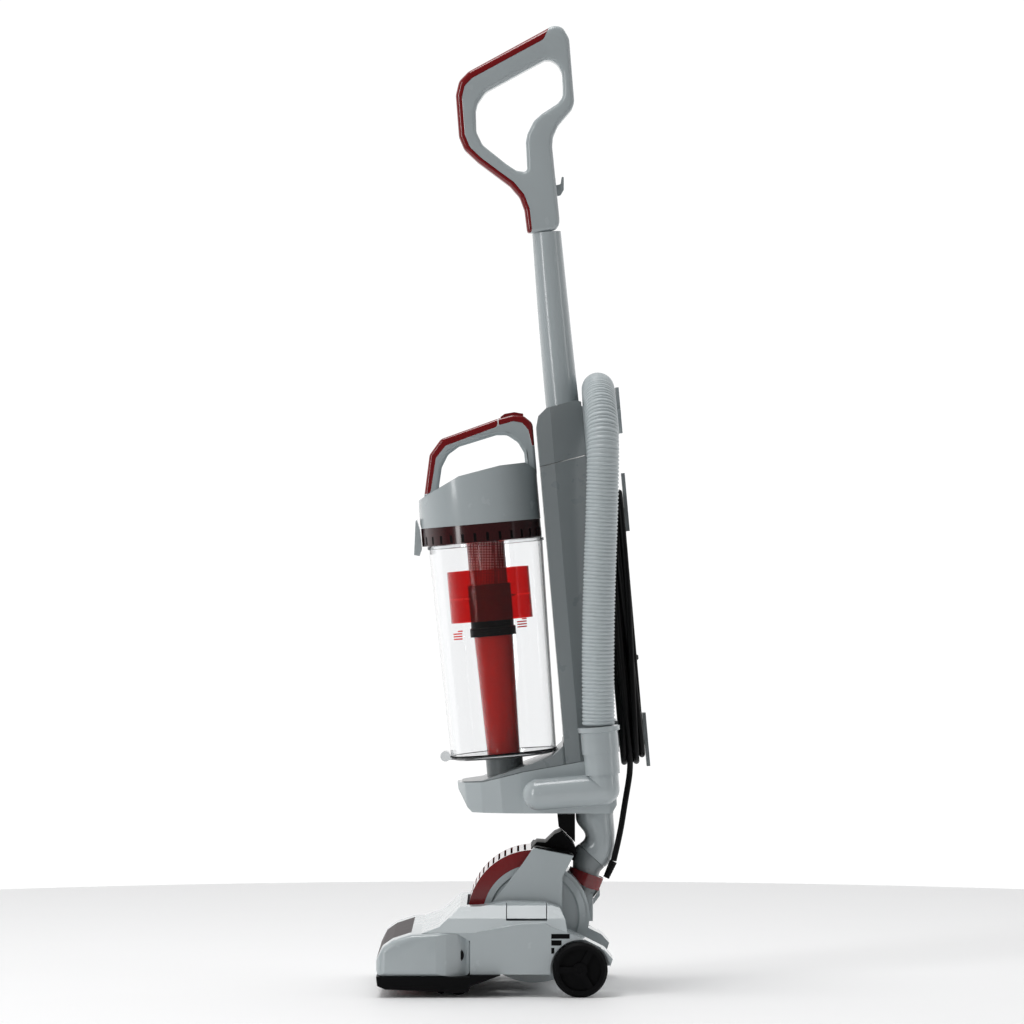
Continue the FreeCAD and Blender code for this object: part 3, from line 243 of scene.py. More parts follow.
def perforated(name, colour, roughness):
    """A red shell with a regular field of small holes, drawn from the piece's own coordinates."""
    material = plastic(name, colour, roughness, coat=0.3)
    nodes, link = material.node_tree.nodes, material.node_tree.links.new
    if "Voronoi Texture" in nodes:
        return material
    place = nodes.new("ShaderNodeTexCoord")
    cells = nodes.new("ShaderNodeTexVoronoi")
    cells.inputs["Scale"].default_value = 330.0
    cells.inputs["Randomness"].default_value = 0.0
    link(place.outputs["Object"], cells.inputs["Vector"])
    holes = nodes.new("ShaderNodeMapRange")
    holes.inputs["From Min"].default_value = 0.412
    holes.inputs["From Max"].default_value = 0.42
    link(cells.outputs["Distance"], holes.inputs["Value"])
    mix = nodes.new("ShaderNodeMix")
    mix.data_type = "RGBA"
    shader = nodes["Principled BSDF"]
    old = shader.inputs["Base Color"].links[0].from_socket
    mix.inputs["A"].default_value = (0.9, 0.35, 0.33, 1)
    link(holes.outputs["Result"], mix.inputs["Factor"])
    link(old, mix.inputs["B"])
    link(mix.outputs["Result"], shader.inputs["Base Color"])
    return material


def palette(settings):
    """Every finish of the cleaner by its own name."""
    grey, red = tuple(settings.shell_colour), tuple(settings.grip_colour)
    return {
        "shell": plastic("shell_grey", grey, 0.24, coat=0.35, grain=0.04),
        # Painted shade: the shell grey darkened to 0.55, a shaded copy of the shell plastic for pieces that
        # sit in shade.
        "shell_painted_shade": plastic("shell_shadow", tuple(c * 0.55 for c in grey), 0.3, coat=0.2),
        "red": plastic("gloss_red", red, 0.2, coat=0.6, drift=0.08, grain=0.03),
        "clear_red": plastic("clear_red", (0.85, 0.03, 0.022), 0.1, coat=0.5, transmission=0.25, drift=0.05),
        "skirt": plastic("skirt_red", (0.8, 0.02, 0.015), 0.06, drift=0.04, grain=0.0, transmission=0.9,
                         ior=1.25),
        "perforated": perforated("perforated_red", (0.42, 0.008, 0.007), 0.3),
        "clear": plastic("clear_wall", (0.97, 0.975, 0.98), 0.012, drift=0.0, spread=0.004, grain=0.0,
                         transmission=1.0, ior=1.45),
        "door": plastic("clear_door", (0.62, 0.64, 0.65), 0.03, drift=0.0, spread=0.01, grain=0.0,
                        transmission=0.9, ior=1.45),
        "smoked": plastic("smoked_window", (0.03, 0.018, 0.019), 0.34, drift=0.02, spread=0.01, grain=0.0,
                          ior=1.15, specular=0.1),
        "ring": plastic("ring_dark", (0.035, 0.003, 0.004), 0.18, coat=0.5),
        "black": plastic("black_plastic", (0.003, 0.003, 0.0034), 0.46, specular=0.1, grain=0.25,
                         grain_scale=1500.0, spread=0.08),
        "rubber": plastic("black_rubber", (0.003, 0.003, 0.0034), 0.6, specular=0.1, grain=0.4,
                          grain_scale=700.0, spread=0.08),
        "metal": plastic("motor_metal", (0.16, 0.17, 0.18), 0.4),
        "cord": plastic("cord_black", (0.003, 0.003, 0.0034), 0.42, specular=0.15, grain=0.3,
                        grain_scale=1200.0, spread=0.06),
        "hose": plastic("hose_grey", tuple(min(1.0, c * 1.15) for c in grey), 0.36, coat=0.1, spread=0.05),
        "mark": plastic("mark_red", (0.75, 0.02, 0.015), 0.35),
        "floor": plastic("studio_floor", (0.97, 0.97, 0.975), 0.6, drift=0.01, grain=0.1,
                         grain_scale=120.0),
    }


# ---------------------------------------------------------------- outlines and solids

def rounded(points, radius, steps=5):
    """An outline whose corners are arcs, each as large as its shorter side allows."""
    result = []
    count = len(points)
    for i, corner in enumerate(points):
        here = Vector(corner)
        before, after = Vector(points[i - 1]) - here, Vector(points[(i + 1) % count]) - here
        turn = math.pi - before.angle(after)
        trim = min(radius * math.tan(turn / 2), 0.46 * before.length, 0.46 * after.length)
        if turn < 0.03:
            result.append(here)
            continue
        start, end = here + before.normalized() * trim, here + after.normalized() * trim
        for k in range(steps + 1):
            t = k / steps
            result.append(start * (1 - t) ** 2 + here * 2 * t * (1 - t) + end * t * t)
    return result


def circle(radius, centre, count=96):
    """A round outline in plan about a middle on the machine's centre plane."""
    angles = (2 * math.pi * k / count for k in range(count))
    return [Vector((radius * math.cos(angle), centre + radius * math.sin(angle))) for angle in angles]


def area_of(points):
    """The signed area of an outline, positive when it runs anticlockwise."""
    return sum(a.x * b.y - b.x * a.y for a, b in zip(points, points[1:] + points[:1])) / 2


def inset(points, distance):
    """The outline moved inwards along its own normals."""
    sign = 1 if area_of(points) > 0 else -1
    count = len(points)
    moved = []
    for i, point in enumerate(points):
        before = (point - points[i - 1]).normalized()
        after = (points[(i + 1) % count] - point).normalized()
        normal = Vector((-(before.y + after.y), before.x + after.x)) * sign
        if normal.length < 1e-9:
            moved.append(point.copy())
            continue
        normal.normalize()
        moved.append(point + normal * distance / max(0.6, math.cos(before.angle(after, 0.0) / 2)))
    return moved


def slab(outer, half, edge, hole=None, steps=5, plane="side", low=None):
    """A rounded-edged slab over an outline, from -half to half along X, or from low up along Z in plan."""
    work = bmesh.new()
    profile = [math.radians(90 * k / steps) for k in range(steps + 1)]
    levels = [(half - edge + edge * math.sin(a), edge - edge * math.cos(a)) for a in reversed(profile)]
    levels += [(-level, move) for level, move in reversed(levels)]

    def place(point, level):
        if plane == "side":
            return Vector((level, point.x, point.y)) * MM
        return Vector((point.x, point.y, low + half + level)) * MM

    rims = []
    for outline, sign in ((outer, 1), (hole, -1)):
        if outline is None:
            continue
        loops = [[work.verts.new(place(p, level)) for p in inset(outline, sign * move)] for level,
                 move in levels]
        for upper, lower in zip(loops, loops[1:]):
            for i in range(len(upper)):
                j = (i + 1) % len(upper)
                work.faces.new((upper[i], upper[j], lower[j], lower[i]))
        rims.append((loops[0], loops[-1]))
    for side in (0, 1):
        edges = []
        for rim in rims:
            loop = rim[side]
            edges += [work.edges.get((loop[i], loop[(i + 1) % len(loop)])) for i in range(len(loop))]
        if len(rims) == 1:
            cap = work.faces.new(rims[0][side])
            if edge > 1.0:
                bmesh.ops.triangulate(work, faces=[cap])
        else:
            bmesh.ops.triangle_fill(work, edges=edges, use_beauty=True)
    bmesh.ops.recalc_face_normals(work, faces=work.faces)
    return work


def turned(profile, centre, segments=96):
    """A closed ring or disc spun from (radius, height) points about an upright axis at (x, y)."""
    work = bmesh.new()
    verts = [work.verts.new(Vector((r, 0, z)) * MM) for r, z in profile]
    edges = [work.edges.new((verts[i], verts[(i + 1) % len(verts)])) for i in range(len(verts))]
    bmesh.ops.spin(work, geom=verts + edges, cent=(0, 0, 0), axis=(0, 0, 1), angle=2 * math.pi,
                   steps=segments,
                   use_merge=True)
    bmesh.ops.remove_doubles(work, verts=work.verts, dist=1e-6)
    bmesh.ops.recalc_face_normals(work, faces=work.faces)
    bmesh.ops.translate(work, verts=work.verts, vec=Vector((centre[0], centre[1], 0)) * MM)
    return work


def to_mesh(work, name):
    """The mesh data of a bmesh, which is freed."""
    mesh = bpy.data.meshes.new(name)
    work.to_mesh(mesh)
    work.free()
    return mesh


def combined(name, base, *others):
    """The base bmesh with (operation, bmesh) pairs applied to it as a new mesh."""
    holder = bpy.data.objects.new(name + "_blank", to_mesh(base, name + "_blank"))
    bpy.context.scene.collection.objects.link(holder)
    helpers = []
    for operation, other in others:
        helper = bpy.data.objects.new(name + "_tool", to_mesh(other, name + "_tool"))
        bpy.context.scene.collection.objects.link(helper)
        modifier = holder.modifiers.new(operation.lower(), "BOOLEAN")
        modifier.operation = operation
        modifier.solver = "MANIFOLD"
        modifier.object = helper
        helpers.append(helper)
    bpy.context.view_layer.update()
    mesh = bpy.data.meshes.new_from_object(holder.evaluated_get(bpy.context.evaluated_depsgraph_get()))
    if not mesh.polygons:
        raise RuntimeError(f"{name} came out empty")
    for item in [holder, *helpers]:
        bpy.data.objects.remove(item)
    return mesh


def finished(name, mesh, material, body, matrix=UPRIGHT, replaces=(), bevel=0.0, smooth=32):
    """Places a mesh in the machine's frame as a named piece that rides on a body."""
    mesh.transform(matrix)
    mesh.materials.clear()
    mesh.materials.append(material)
    mesh.shade_smooth()
    mesh.set_sharp_from_angle(angle=math.radians(smooth))
    piece = bpy.data.objects.new(name, mesh)
    bpy.context.scene.collection.objects.link(piece)
    if bevel:
        soften(piece, bevel)
    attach(piece, body)
    if replaces:
        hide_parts(*replaces)
    return piece


def soften(piece, width, segments=3):
    """Moulded edge radii."""
    modifier = piece.modifiers.new("edge_radius", "BEVEL")
    modifier.width = width * MM
    modifier.segments = segments
    modifier.limit_method = "ANGLE"
    modifier.angle_limit = math.radians(38)
    modifier.use_clamp_overlap = True
    modifier.harden_normals = True
    modifier.miter_outer = "MITER_ARC"


def repaint(material, *nodes, bevel=0.7):
    """Gives CAD nodes a finish and moulded edges."""
    for node in nodes:
        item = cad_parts[node]
        item.data.materials.clear()
        item.data.materials.append(material)
        if bevel:
            soften(item, bevel, 2)


def block_at(low, high):
    """A box between two opposite corners."""
    work = bmesh.new()
    bmesh.ops.create_cube(work, size=1.0)
    size = [(b - a) * MM for a, b in zip(low, high)]
    middle = [(a + b) / 2 * MM for a, b in zip(low, high)]
    bmesh.ops.transform(work, verts=work.verts,
                        matrix=Matrix.Translation(middle) @ Matrix.Diagonal((*size, 1)))
    return work


def join(whole, other):
    """Adds one closed shell to a bmesh that holds several."""
    mesh = to_mesh(other, "part")
    whole.from_mesh(mesh)
    bpy.data.meshes.remove(mesh)


def nurbs(points):
    """A curve object with one smooth open spline over control points in the machine's frame."""
    curve = bpy.data.curves.new("route", "CURVE")
    curve.dimensions = "3D"
    spline = curve.splines.new("NURBS")
    spline.points.add(len(points) - 1)
    for point, place in zip(spline.points, points):
        point.co = (*place, 1.0)
    spline.order_u = 3
    spline.use_endpoint_u = True
    spline.resolution_u = 8
    return bpy.data.objects.new("route", curve)


def route_points(points):
    """The points that the smooth spline passes through."""
    holder = nurbs(points)
    bpy.context.scene.collection.objects.link(holder)
    bpy.context.view_layer.update()
    mesh = bpy.data.meshes.new_from_object(holder)
    line = [vert.co.copy() for vert in mesh.vertices]
    bpy.data.objects.remove(holder)
    return line


def evenly(line, step):
    """The same line with points every step metres."""
    total = sum((b - a).length for a, b in zip(line, line[1:]))
    count = max(2, round(total / step))
    result, index, gone = [line[0]], 0, 0.0
    for k in range(1, count):
        target = total * k / count
        while gone + (line[index + 1] - line[index]).length < target:
            gone += (line[index + 1] - line[index]).length
            index += 1
        span = line[index + 1] - line[index]
        result.append(line[index] + span * ((target - gone) / span.length))
    return result + [line[-1]]


def tube_mesh(name, line, radius_at, segments):
    """A closed tube round a line with a twist-free frame; radius_at(i) gives each ring's radius."""
    work = bmesh.new()
    rings = []
    tangent = (line[1] - line[0]).normalized()
    side = tangent.orthogonal().normalized()
    for i, point in enumerate(line):
        after = line[min(i + 1, len(line) - 1)] - line[max(i - 1, 0)]
        new_tangent = after.normalized()
        side = (tangent.rotation_difference(new_tangent) @ side).normalized()
        tangent = new_tangent
        other = tangent.cross(side)
        ring = []
        for k in range(segments):
            angle = 2 * math.pi * k / segments
            spoke = side * math.cos(angle) + other * math.sin(angle)
            ring.append(work.verts.new(point + spoke * radius_at(i)))
        rings.append(ring)
    for lower, upper in zip(rings, rings[1:]):
        for k in range(segments):
            j = (k + 1) % segments
            work.faces.new((lower[k], lower[j], upper[j], upper[k]))
    work.faces.new(rings[0])
    work.faces.new(rings[-1])
    bmesh.ops.recalc_face_normals(work, faces=work.faces)
    return to_mesh(work, name)


# ---------------------------------------------------------------- settings

class CleanerSettings(bpy.types.PropertyGroup):
    shell_colour: FloatVectorProperty(name="Shell", description="Colour of the moulded shells",
                                      subtype="COLOR",
                                      size=3, min=0, max=1, default=(0.42, 0.465, 0.48))
    grip_colour: FloatVectorProperty(name="Grips", description="Colour of the red grips and grille",
                                     subtype="COLOR",
                                     size=3, min=0, max=1, default=(0.2, 0.003, 0.005))
    edge_radius: FloatProperty(name="Handle Edge", description="Edge radius of the handle in millimetres",
                               default=5.2, min=1)
    rib_pitch: FloatProperty(name="Hose Rib Pitch", description="Distance between the hose's ribs",
                             default=0.0042, min=0.001, unit="LENGTH")
    hose_radius: FloatProperty(name="Hose Radius", description="Radius over the hose's ribs",
                               default=0.0184, unit="LENGTH")
    hose_length: FloatProperty(name="Hose Length", description="Length of the hose along its middle",
                               default=0.864, unit="LENGTH")
    cord_radius: FloatProperty(name="Cord Radius", description="Radius of the power cord", default=0.0035,
                               unit="LENGTH")
    cord_length: FloatProperty(name="Cord Length", description="Whole length of the power cord",
                               default=7.61, unit="LENGTH")
    coil_segments: IntProperty(name="Cord Sides", description="Sides round the power cord", default=12,
                               min=6)


# ---------------------------------------------------------------- pieces

class CLEANER_OT_handle(bpy.types.Operator):
    """Build the loop handle and its red grip"""
    bl_idname = "cleaner.handle"
    bl_label = "Handle"
    bl_options = {"REGISTER", "UNDO"}

    def execute(self, context):
        settings = context.scene.cleaner
        finish = palette(settings)
        edge = settings.edge_radius
        outline, hole = rounded(LOOP, 14), rounded(LOOP_HOLE, 12)
        zone = rounded(GRIP, 8)
        body = combined("handle_loop", slab(outline, 15, edge, hole), ("DIFFERENCE", slab(zone, 20, 0.5)))
        finished("handle_body", body, finish["shell"], "upright", replaces=["handle_loop"])
        clip = slab(rounded(CLIP, 2), 3, 0.8)
        finished("flex_clip", to_mesh(clip, "flex_clip"), finish["shell"], "upright")
        strip = combined("handle_grip", slab(outline, 14.6, edge, hole),
                         ("INTERSECT", slab(inset(zone, HANDLE_SEAM), 20, 0.5)))
        finished("handle_red_grip", strip, finish["red"], "upright", replaces=["handle_grip"])
        repaint(finish["shell"], "handle_tube", bevel=0)
        return {"FINISHED"}


class CLEANER_OT_cup_top(bpy.types.Operator):
    """Build the dust cup's lid, carry handle and grip"""
    bl_idname = "cleaner.cup_top"
    bl_label = "Cup Top"
    bl_options = {"REGISTER", "UNDO"}

    def execute(self, context):
        finish = palette(context.scene.cleaner)
        lid_disc = slab(circle(LID_RADIUS, RING_Y), 40, 0.3, plane="plan", low=528)
        lid = combined("cup_lid", slab([Vector(p) for p in LID], 70, 0.2), ("INTERSECT", lid_disc))
        finished("lid_dome", lid, finish["shell"], "dust_cup", replaces=["cup_lid"], bevel=2.2,
                 smooth=24)
        outline = rounded(CARRY, 10)
        zone = rounded(CARRY_GRIP, 6)
        crown_zone = [Vector(p) for p in CARRY_CROWN]
        handle = combined("carry_handle", slab(outline, 12, 4.2), ("DIFFERENCE", slab(zone, 20, 0.5)),
                          ("DIFFERENCE", slab(crown_zone, 20, 0.5)),
                          ("DIFFERENCE", block_at(*BUTTON_ROOM)))
        finished("carry_body", handle, finish["shell"], "dust_cup", replaces=["carry_handle"])
        strip = combined("carry_grip", slab(outline, 11.7, 4.0),
                         ("INTERSECT", slab(inset(zone, CARRY_SEAM), 20, 0.5)))
        finished("carry_red_grip", strip, finish["red"], "dust_cup", replaces=["carry_grip"])
        crown = combined("carry_crown", slab(outline, 11.7, 4.0),
                         ("INTERSECT", slab(inset(crown_zone, CARRY_SEAM), 20, 0.5)),
                         ("DIFFERENCE", block_at(*BUTTON_ROOM)))
        finished("carry_red_crown", crown, finish["red"], "dust_cup")
        repaint(finish["red"], "release_button", bevel=1.5)
        repaint(finish["shell"], "cup_latch", bevel=0.8)
        return {"FINISHED"}


class CLEANER_OT_cup(bpy.types.Operator):
    """Finish the clear dust cup and the red cyclone inside it"""
    bl_idname = "cleaner.cup"
    bl_label = "Dust Cup"
    bl_options = {"REGISTER", "UNDO"}

    def execute(self, context):
        finish = palette(context.scene.cleaner)
        repaint(finish["clear"], "dust_cup", bevel=0.4)
        repaint(finish["door"], "bottom_door", bevel=0.4)
        repaint(finish["clear_red"], "inner_tube", bevel=0.3)
        repaint(finish["skirt"], "cyclone_skirt", bevel=0.3)
        repaint(finish["perforated"], "shroud", bevel=0)
        repaint(finish["black"], "cyclone_core", bevel=0.8)
        repaint(finish["ring"], "filter_ring", bevel=1.0)
        teeth = bmesh.new()
        ring_place = Matrix.Translation((0, RING_Y * MM, 0))
        for k in range(TOOTH_COUNT):
            tooth = block_at((-1.5, 67.7, 509), (1.5, 68.1, 518))
            turn = Matrix.Rotation(2 * math.pi * k / TOOTH_COUNT, 4, "Z")
            bmesh.ops.transform(tooth, verts=tooth.verts, matrix=ring_place @ turn)
            join(teeth, tooth)
        finished("ring_ribs", to_mesh(teeth, "ring_ribs"), finish["black"], "dust_cup")
        for name, low in (("ring_line_low", 507.7), ("ring_line_high", 526.3)):
            line = turned([(67.5, low), (67.85, low), (67.85, low + 1.3), (67.5, low + 1.3)], (0, RING_Y))
            finished(name, to_mesh(line, name), finish["mark"], "dust_cup")
        lip = turned([(65.15, 503), (66.4, 503.4), (66.4, 506.6), (65.15, 507)], (0, CUP_Y))
        finished("cup_lip", to_mesh(lip, "cup_lip"), finish["clear"], "dust_cup")
        gasket = turned([(57.5, 266.5), (60.6, 266.9), (60.6, 268.4), (57.5, 268.0)], (0, CUP_Y))
        finished("door_gasket", to_mesh(gasket, "door_gasket"), finish["black"], "dust_cup")
        marks = bmesh.new()
        for centre, base in ((-33.0, 400.0), (40.0, 408.0)):
            for k, width in enumerate(MARK_WIDTHS):
                aside = centre + (MARK_WIDTHS[0] - width) / 2 - CUP_Y
                heading = math.atan2(aside, math.sqrt(WALL_RADIUS**2 - aside**2))
                low = base + MARK_STEP * k
                bar = block_at((-0.15, -width / 2, low), (0.15, width / 2, low + MARK_HEIGHT))
                place = (Matrix.Translation((0, CUP_Y * MM, 0)) @ Matrix.Rotation(heading, 4, "Z")
                         @ Matrix.Translation((WALL_RADIUS * MM, 0, 0)))
                bmesh.ops.transform(bar, verts=bar.verts, matrix=place)
                join(marks, bar)
        finished("level_marks", to_mesh(marks, "level_marks"), finish["mark"], "dust_cup")
        return {"FINISHED"}


class CLEANER_OT_spine(bpy.types.Operator):
    """Build the spine, its cap and the base housing"""
    bl_idname = "cleaner.spine"
    bl_label = "Spine"
    bl_options = {"REGISTER", "UNDO"}

    def execute(self, context):
        finish = palette(context.scene.cleaner)
        plan = [Vector(p) for p in SPINE_PLAN]
        cradle = slab([Vector(p) for p in rounded(CRADLE_PLAN, 6)], 20, 0.2, plane="plan", low=236)
        column = slab(plan, 190, 0.2, plane="plan", low=232)
        # The spine's body and crown take the painted shade finish, a darker copy of the shell grey.
        low = combined("spine_lower", slab([Vector(p) for p in SPINE_LOW], 71.9, 0.1),
                       ("INTERSECT", fused(column, cradle)))
        finished("spine_body", low, finish["shell_painted_shade"], "upright", replaces=["spine_lower"], bevel=3.2,
                 smooth=28)
        top = combined("spine_cap", slab([Vector(p) for p in SPINE_TOP], 69.9, 0.1),
                       ("INTERSECT", slab(plan, 60, 0.2, plane="plan", low=560)))
        finished("spine_crown", top, finish["shell_painted_shade"], "upright", replaces=["spine_cap"], bevel=3.2,
                 smooth=28)
        pan = combined("base_housing", slab([Vector(p) for p in BASE], 71.9, 0.1),
                       ("INTERSECT", slab(rounded(BASE_PLAN, 12), 45, 0.2, plane="plan", low=180)))
        finished("base_pan", pan, finish["shell"], "upright", replaces=["base_housing"], bevel=3.0,
                 smooth=28)
        repaint(finish["shell"], "back_cover", "hose_hanger", "hose_port", bevel=1.0)
        repaint(finish["shell"], "hose_elbow", "hose_cuff", bevel=0.8)
        # The duct seal takes the painted shade finish, a darker copy of the shell grey.
        repaint(finish["shell_painted_shade"], "duct_seal", bevel=0.5)
        return {"FINISHED"}


def fused(first, second):
    """One bmesh that holds the union of two."""
    mesh = combined("fused", first, ("UNION", second))
    work = bmesh.new()
    work.from_mesh(mesh)
    bpy.data.meshes.remove(mesh)
    return work


class CLEANER_OT_hose(bpy.types.Operator):
    """Build the ribbed hose over its hanger"""
    bl_idname = "cleaner.hose"
    bl_label = "Hose"
    bl_options = {"REGISTER", "UNDO"}

    def execute(self, context):
        settings = context.scene.cleaner
        finish = palette(settings)
        far_leg = [(-x, y, z) for x, y, z in reversed(HOSE_LEG)]
        points = [UPRIGHT @ (Vector(p) * MM) for p in HOSE_LEG + HOSE_ARCH + far_leg]
        line = evenly(route_points(points), settings.rib_pitch / len(RIB))

        def radius_at(i):
            return settings.hose_radius - RIB_DEPTH * (1 - RIB[i % len(RIB)])

        mesh = tube_mesh("ribbed_hose", line, radius_at, 40)
        hose = finished("ribbed_hose", mesh, finish["hose"], "upright", matrix=Matrix(), replaces=["hose"],
                        smooth=70)
        return {"FINISHED"}


def coil_turn(radius, deep, next_radius, next_deep):
    """Control points for one turn of the cord round the two posts: up the far side, over and down again."""
    low, high = 277.0, 517.0

    def bow(middle, angles, r, y):
        reach = r / math.cos(math.radians(22.5))
        turns = [math.radians(angle) for angle in angles]
        return [(reach * math.cos(a), y, middle + reach * math.sin(a)) for a in turns]

    mid_r, mid_y = (radius + next_radius) / 2, (deep + next_deep) / 2
    points = [(-radius, deep, 330), (-radius, deep, 420)]
    points += bow(high, (157.5, 112.5, 67.5, 22.5), radius, deep)
    points += [(radius, deep, 450), (mid_r, mid_y, 360)]
    points += bow(low, (-22.5, -67.5, -112.5, -157.5), next_radius, next_deep)
    return points


class CLEANER_OT_power_cord(bpy.types.Operator):
    """Build the power cord wound round its two hooks"""
    bl_idname = "cleaner.power_cord"
    bl_label = "Power Cord"
    bl_options = {"REGISTER", "UNDO"}

    def execute(self, context):
        settings = context.scene.cleaner
        finish = palette(settings)
        strand = [18.9, 25.8, 32.7]
        rows = [141.8, 148.7, 155.6, 162.6]
        order = [(2, 3), (2, 2), (1, 3), (0, 3), (0, 2), (0, 1),
                 (0, 0), (1, 0), (1, 1), (1, 2), (2, 0), (2, 1)]
        turns = []
        for (layer, row), (after_layer, after_row) in zip(order, order[1:] + [order[-1]]):
            turns += coil_turn(strand[layer], rows[row], strand[after_layer], rows[after_row])
        points = PLUG_LEAD[:0:-1] + turns[2:-4] + [(30.5, 148.7, 272), (22, 148.4, 249)] + CORD_DROP
        route = [UPRIGHT @ (Vector(p) * MM) for p in reversed(points)]
        line = evenly(route_points(route), CORD_STEP)
        mesh = tube_mesh("power_cord", line, lambda i: settings.cord_radius, settings.coil_segments)
        cord = finished("power_cord", mesh, finish["cord"], "upright", matrix=Matrix(),
                        replaces=["cord_winding", "cord_tails"], smooth=60)
        rings = [(0, 0), (3.6, 0), (3.6, 2), (3.4, 2.4)]
        for k in range(5):
            rings += [(3.8 + 0.16 * k, 4.0 + 3.4 * k), (3.8 + 0.16 * k, 6.2 + 3.4 * k),
                      (3.6 + 0.16 * k, 6.6 + 3.4 * k)]
        relief = to_mesh(turned(rings + [(0, 20.4)], (0, 0), 32), "relief")
        start, end = Vector(RELIEF_START) * MM, Vector(RELIEF_END) * MM
        turn = (end - start).to_track_quat("Z", "Y").to_matrix().to_4x4()
        relief.transform(Matrix.Translation(start) @ turn)
        finished("cord_relief", relief, finish["cord"], "upright", replaces=["strain_relief"])
        repaint(finish["black"], "plug", bevel=0.8)
        # The cord hooks take the painted shade finish, a darker copy of the shell grey.
        repaint(finish["shell_painted_shade"], "cord_hook_lower", "cord_hook_upper", bevel=1.2)
        return {"FINISHED"}


class CLEANER_OT_head(bpy.types.Operator):
    """Build the floor head's nozzle and finish its other shells"""
    bl_idname = "cleaner.head"
    bl_label = "Floor Head"
    bl_options = {"REGISTER", "UNDO"}

    def execute(self, context):
        finish = palette(context.scene.cleaner)
        nozzle = combined("nozzle_housing", slab(rounded(NOZZLE, 7, 3), 150, 7.5, steps=6),
                          ("INTERSECT", slab(rounded(NOZZLE_PLAN, 8, 3), 40, 0.3, plane="plan", low=10)),
                          ("DIFFERENCE", slab(rounded(NOZZLE_INSIDE, 6, 3), 129, 1)),
                          ("DIFFERENCE", block_at((-110, -152, 34), (110, -112, 80))))
        finished("nozzle_shell", nozzle, finish["shell"], "head", matrix=STANDING,
                 replaces=["nozzle_housing"], smooth=28)
        repaint(finish["smoked"], "nozzle_window", bevel=0.5)
        repaint(finish["shell"], "head_body", "power_pedal", bevel=1.4)
        repaint(finish["black"], "soleplate", bevel=1.5)
        repaint(finish["black"], "vent_inserts", "rear_axles", "drive_belt", "motor_pinion", "motor_fan",
                bevel=0)
        repaint(finish["metal"], "brush_motor", "suction_motor", bevel=0)
        repaint(finish["red"], "brush_roll", bevel=0)
        return {"FINISHED"}


class CLEANER_OT_wheels(bpy.types.Operator):
    """Finish the wheels and front rollers"""
    bl_idname = "cleaner.wheels"
    bl_label = "Wheels"
    bl_options = {"REGISTER", "UNDO"}

    def execute(self, context):
        finish = palette(context.scene.cleaner)
        repaint(finish["rubber"], "wheel_left", "wheel_right", "roller_left", "roller_right", bevel=0.7)
        return {"FINISHED"}


class CLEANER_OT_yoke(bpy.types.Operator):
    """Finish the motor drum, the yoke and the swivel duct"""
    bl_idname = "cleaner.yoke"
    bl_label = "Yoke"
    bl_options = {"REGISTER", "UNDO"}

    def execute(self, context):
        finish = palette(context.scene.cleaner)
        repaint(finish["shell"], "drum_housing", "drum_cover_left", "drum_cover_right", bevel=0.8)
        repaint(finish["shell"], "yoke_arm_left", "yoke_arm_right", bevel=1.6)
        repaint(finish["red"], "exhaust_grille", bevel=0.9)
        repaint(finish["red"], "duct_collar", bevel=1.0)
        # The duct stub takes the painted shade finish, a darker copy of the shell grey.
        repaint(finish["shell_painted_shade"], "duct_stub", bevel=0.6)
        repaint(finish["shell"], "duct_elbow", bevel=0.6)
        repaint(finish["black"], "yoke_bridge", "neck_bracket", bevel=1.2)
        repaint(finish["shell"], "release_lever", bevel=0.8)
        return {"FINISHED"}


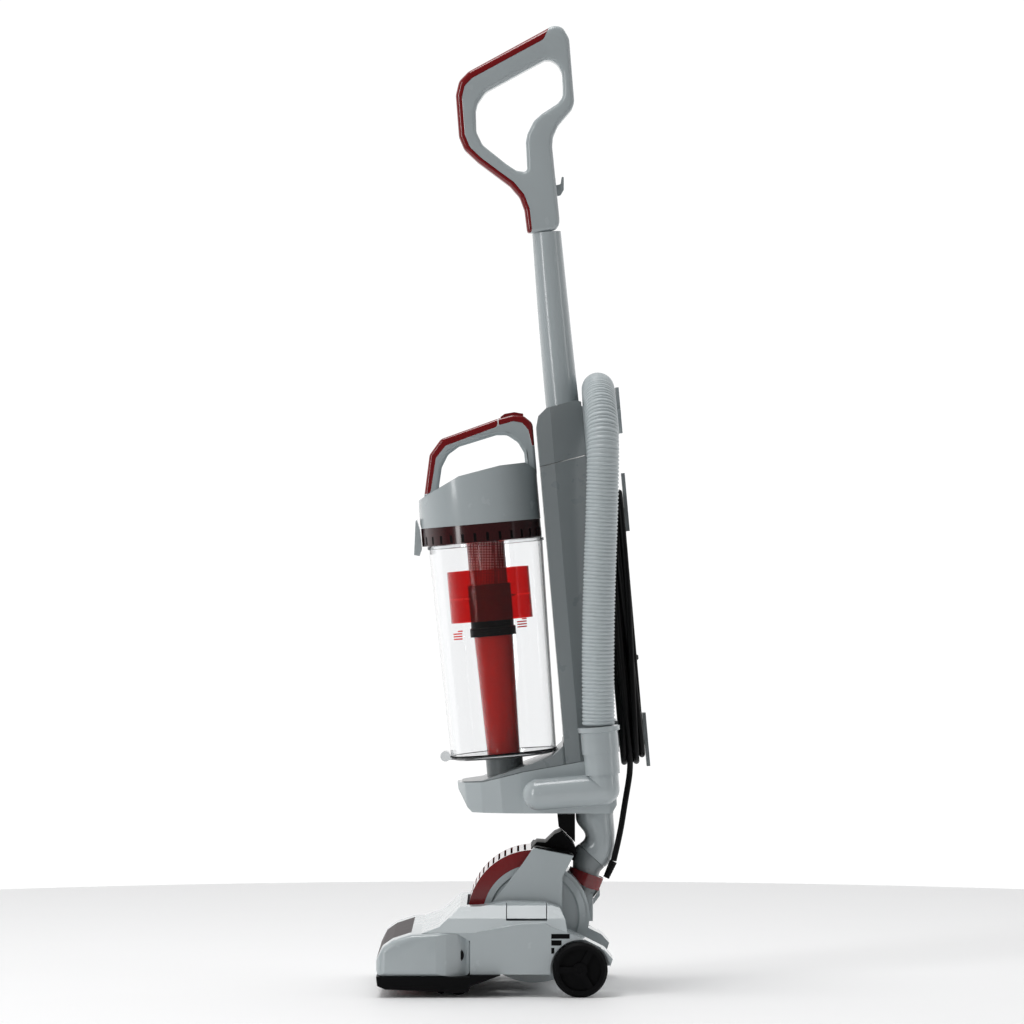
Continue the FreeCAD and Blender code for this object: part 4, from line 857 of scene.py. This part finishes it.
class CLEANER_OT_studio(bpy.types.Operator):
    """Set the pale floor, the soft lights and the camera"""
    bl_idname = "cleaner.studio"
    bl_label = "Studio"
    bl_options = {"REGISTER", "UNDO"}

    def execute(self, context):
        finish = palette(context.scene.cleaner)
        ground = bmesh.new()
        bmesh.ops.create_circle(ground, cap_ends=True, radius=1.7, segments=128)
        floor = bpy.data.objects.new("floor", to_mesh(ground, "floor"))
        floor.data.materials.append(finish["floor"])
        bpy.context.scene.collection.objects.link(floor)
        world = bpy.data.worlds.new("studio")
        world.use_nodes = True
        nodes, link = world.node_tree.nodes, world.node_tree.links.new
        place = nodes.new("ShaderNodeTexCoord")
        split = nodes.new("ShaderNodeSeparateXYZ")
        shade = nodes.new("ShaderNodeMapRange")
        shade.inputs["From Min"].default_value = -0.45
        shade.inputs["From Max"].default_value = 0.35
        shade.inputs["To Min"].default_value = 1.05
        shade.inputs["To Max"].default_value = 0.12
        link(place.outputs["Generated"], split.inputs["Vector"])
        link(split.outputs["X"], shade.inputs["Value"])
        link(shade.outputs["Result"], nodes["Background"].inputs["Strength"])
        nodes["Background"].inputs["Color"].default_value = (1, 1, 1, 1)
        bpy.context.scene.world = world
        bpy.context.scene.view_settings.view_transform = "Standard"
        low, high = (Vector(corner) for corner in CAD_BOX)
        middle = (low + high) / 2
        boxes = [("key", (2.4, -2.4, 1.4), 0.55, 2.6, 38), ("rim", (1.2, 3.0, 1.2), 0.5, 2.4, 10),
                 ("top", (0.3, -0.6, 3.2), 1.2, 1.2, 34)]
        for name, place, width, height, power in boxes:
            light = bpy.data.lights.new(name, "AREA")
            light.shape = "RECTANGLE"
            light.size, light.size_y, light.energy = width, height, power
            lamp = bpy.data.objects.new(name, light)
            lamp.location = place
            lamp.rotation_euler = (Vector(place) - middle).to_track_quat("Z", "Y").to_euler()
            bpy.context.scene.collection.objects.link(lamp)
        lens = bpy.data.cameras.new("camera")
        lens.sensor_width = 36.0
        lens.lens = LENS
        lens.clip_end = 100.0
        camera = bpy.data.objects.new("camera", lens)
        camera.location = (CAMERA_X, CENTRE_Y * MM, CAMERA_Z)
        camera.rotation_euler = (math.radians(90), 0, math.radians(90))
        bpy.context.scene.collection.objects.link(camera)
        bpy.context.scene.camera = camera
        return {"FINISHED"}


class CLEANER_PT_panel(bpy.types.Panel):
    """Sizes, colours and a button for each group of pieces"""
    bl_label = "Cleaner"
    bl_idname = "CLEANER_PT_panel"
    bl_space_type = "VIEW_3D"
    bl_region_type = "UI"
    bl_category = "Cleaner"

    def draw(self, context):
        for name in CleanerSettings.__annotations__:
            self.layout.prop(context.scene.cleaner, name)
        for operator in OPERATORS:
            self.layout.operator(operator.bl_idname)


OPERATORS = (CLEANER_OT_studio, CLEANER_OT_hose, CLEANER_OT_power_cord, CLEANER_OT_handle, CLEANER_OT_cup_top,
             CLEANER_OT_cup, CLEANER_OT_spine, CLEANER_OT_head, CLEANER_OT_wheels, CLEANER_OT_yoke)
CLASSES = (CleanerSettings, *OPERATORS, CLEANER_PT_panel)


def register():
    for item in CLASSES:
        bpy.utils.register_class(item)
    bpy.types.Scene.cleaner = PointerProperty(type=CleanerSettings)


def unregister():
    del bpy.types.Scene.cleaner
    for item in reversed(CLASSES):
        bpy.utils.unregister_class(item)


def main():
    """Builds the whole scene."""
    register()
    bpy.ops.cleaner.studio()
    bpy.ops.cleaner.hose()
    bpy.ops.cleaner.power_cord()
    bpy.ops.cleaner.handle()
    bpy.ops.cleaner.cup_top()
    bpy.ops.cleaner.cup()
    bpy.ops.cleaner.spine()
    bpy.ops.cleaner.head()
    bpy.ops.cleaner.wheels()
    bpy.ops.cleaner.yoke()


if __name__ == "__main__":
    main()
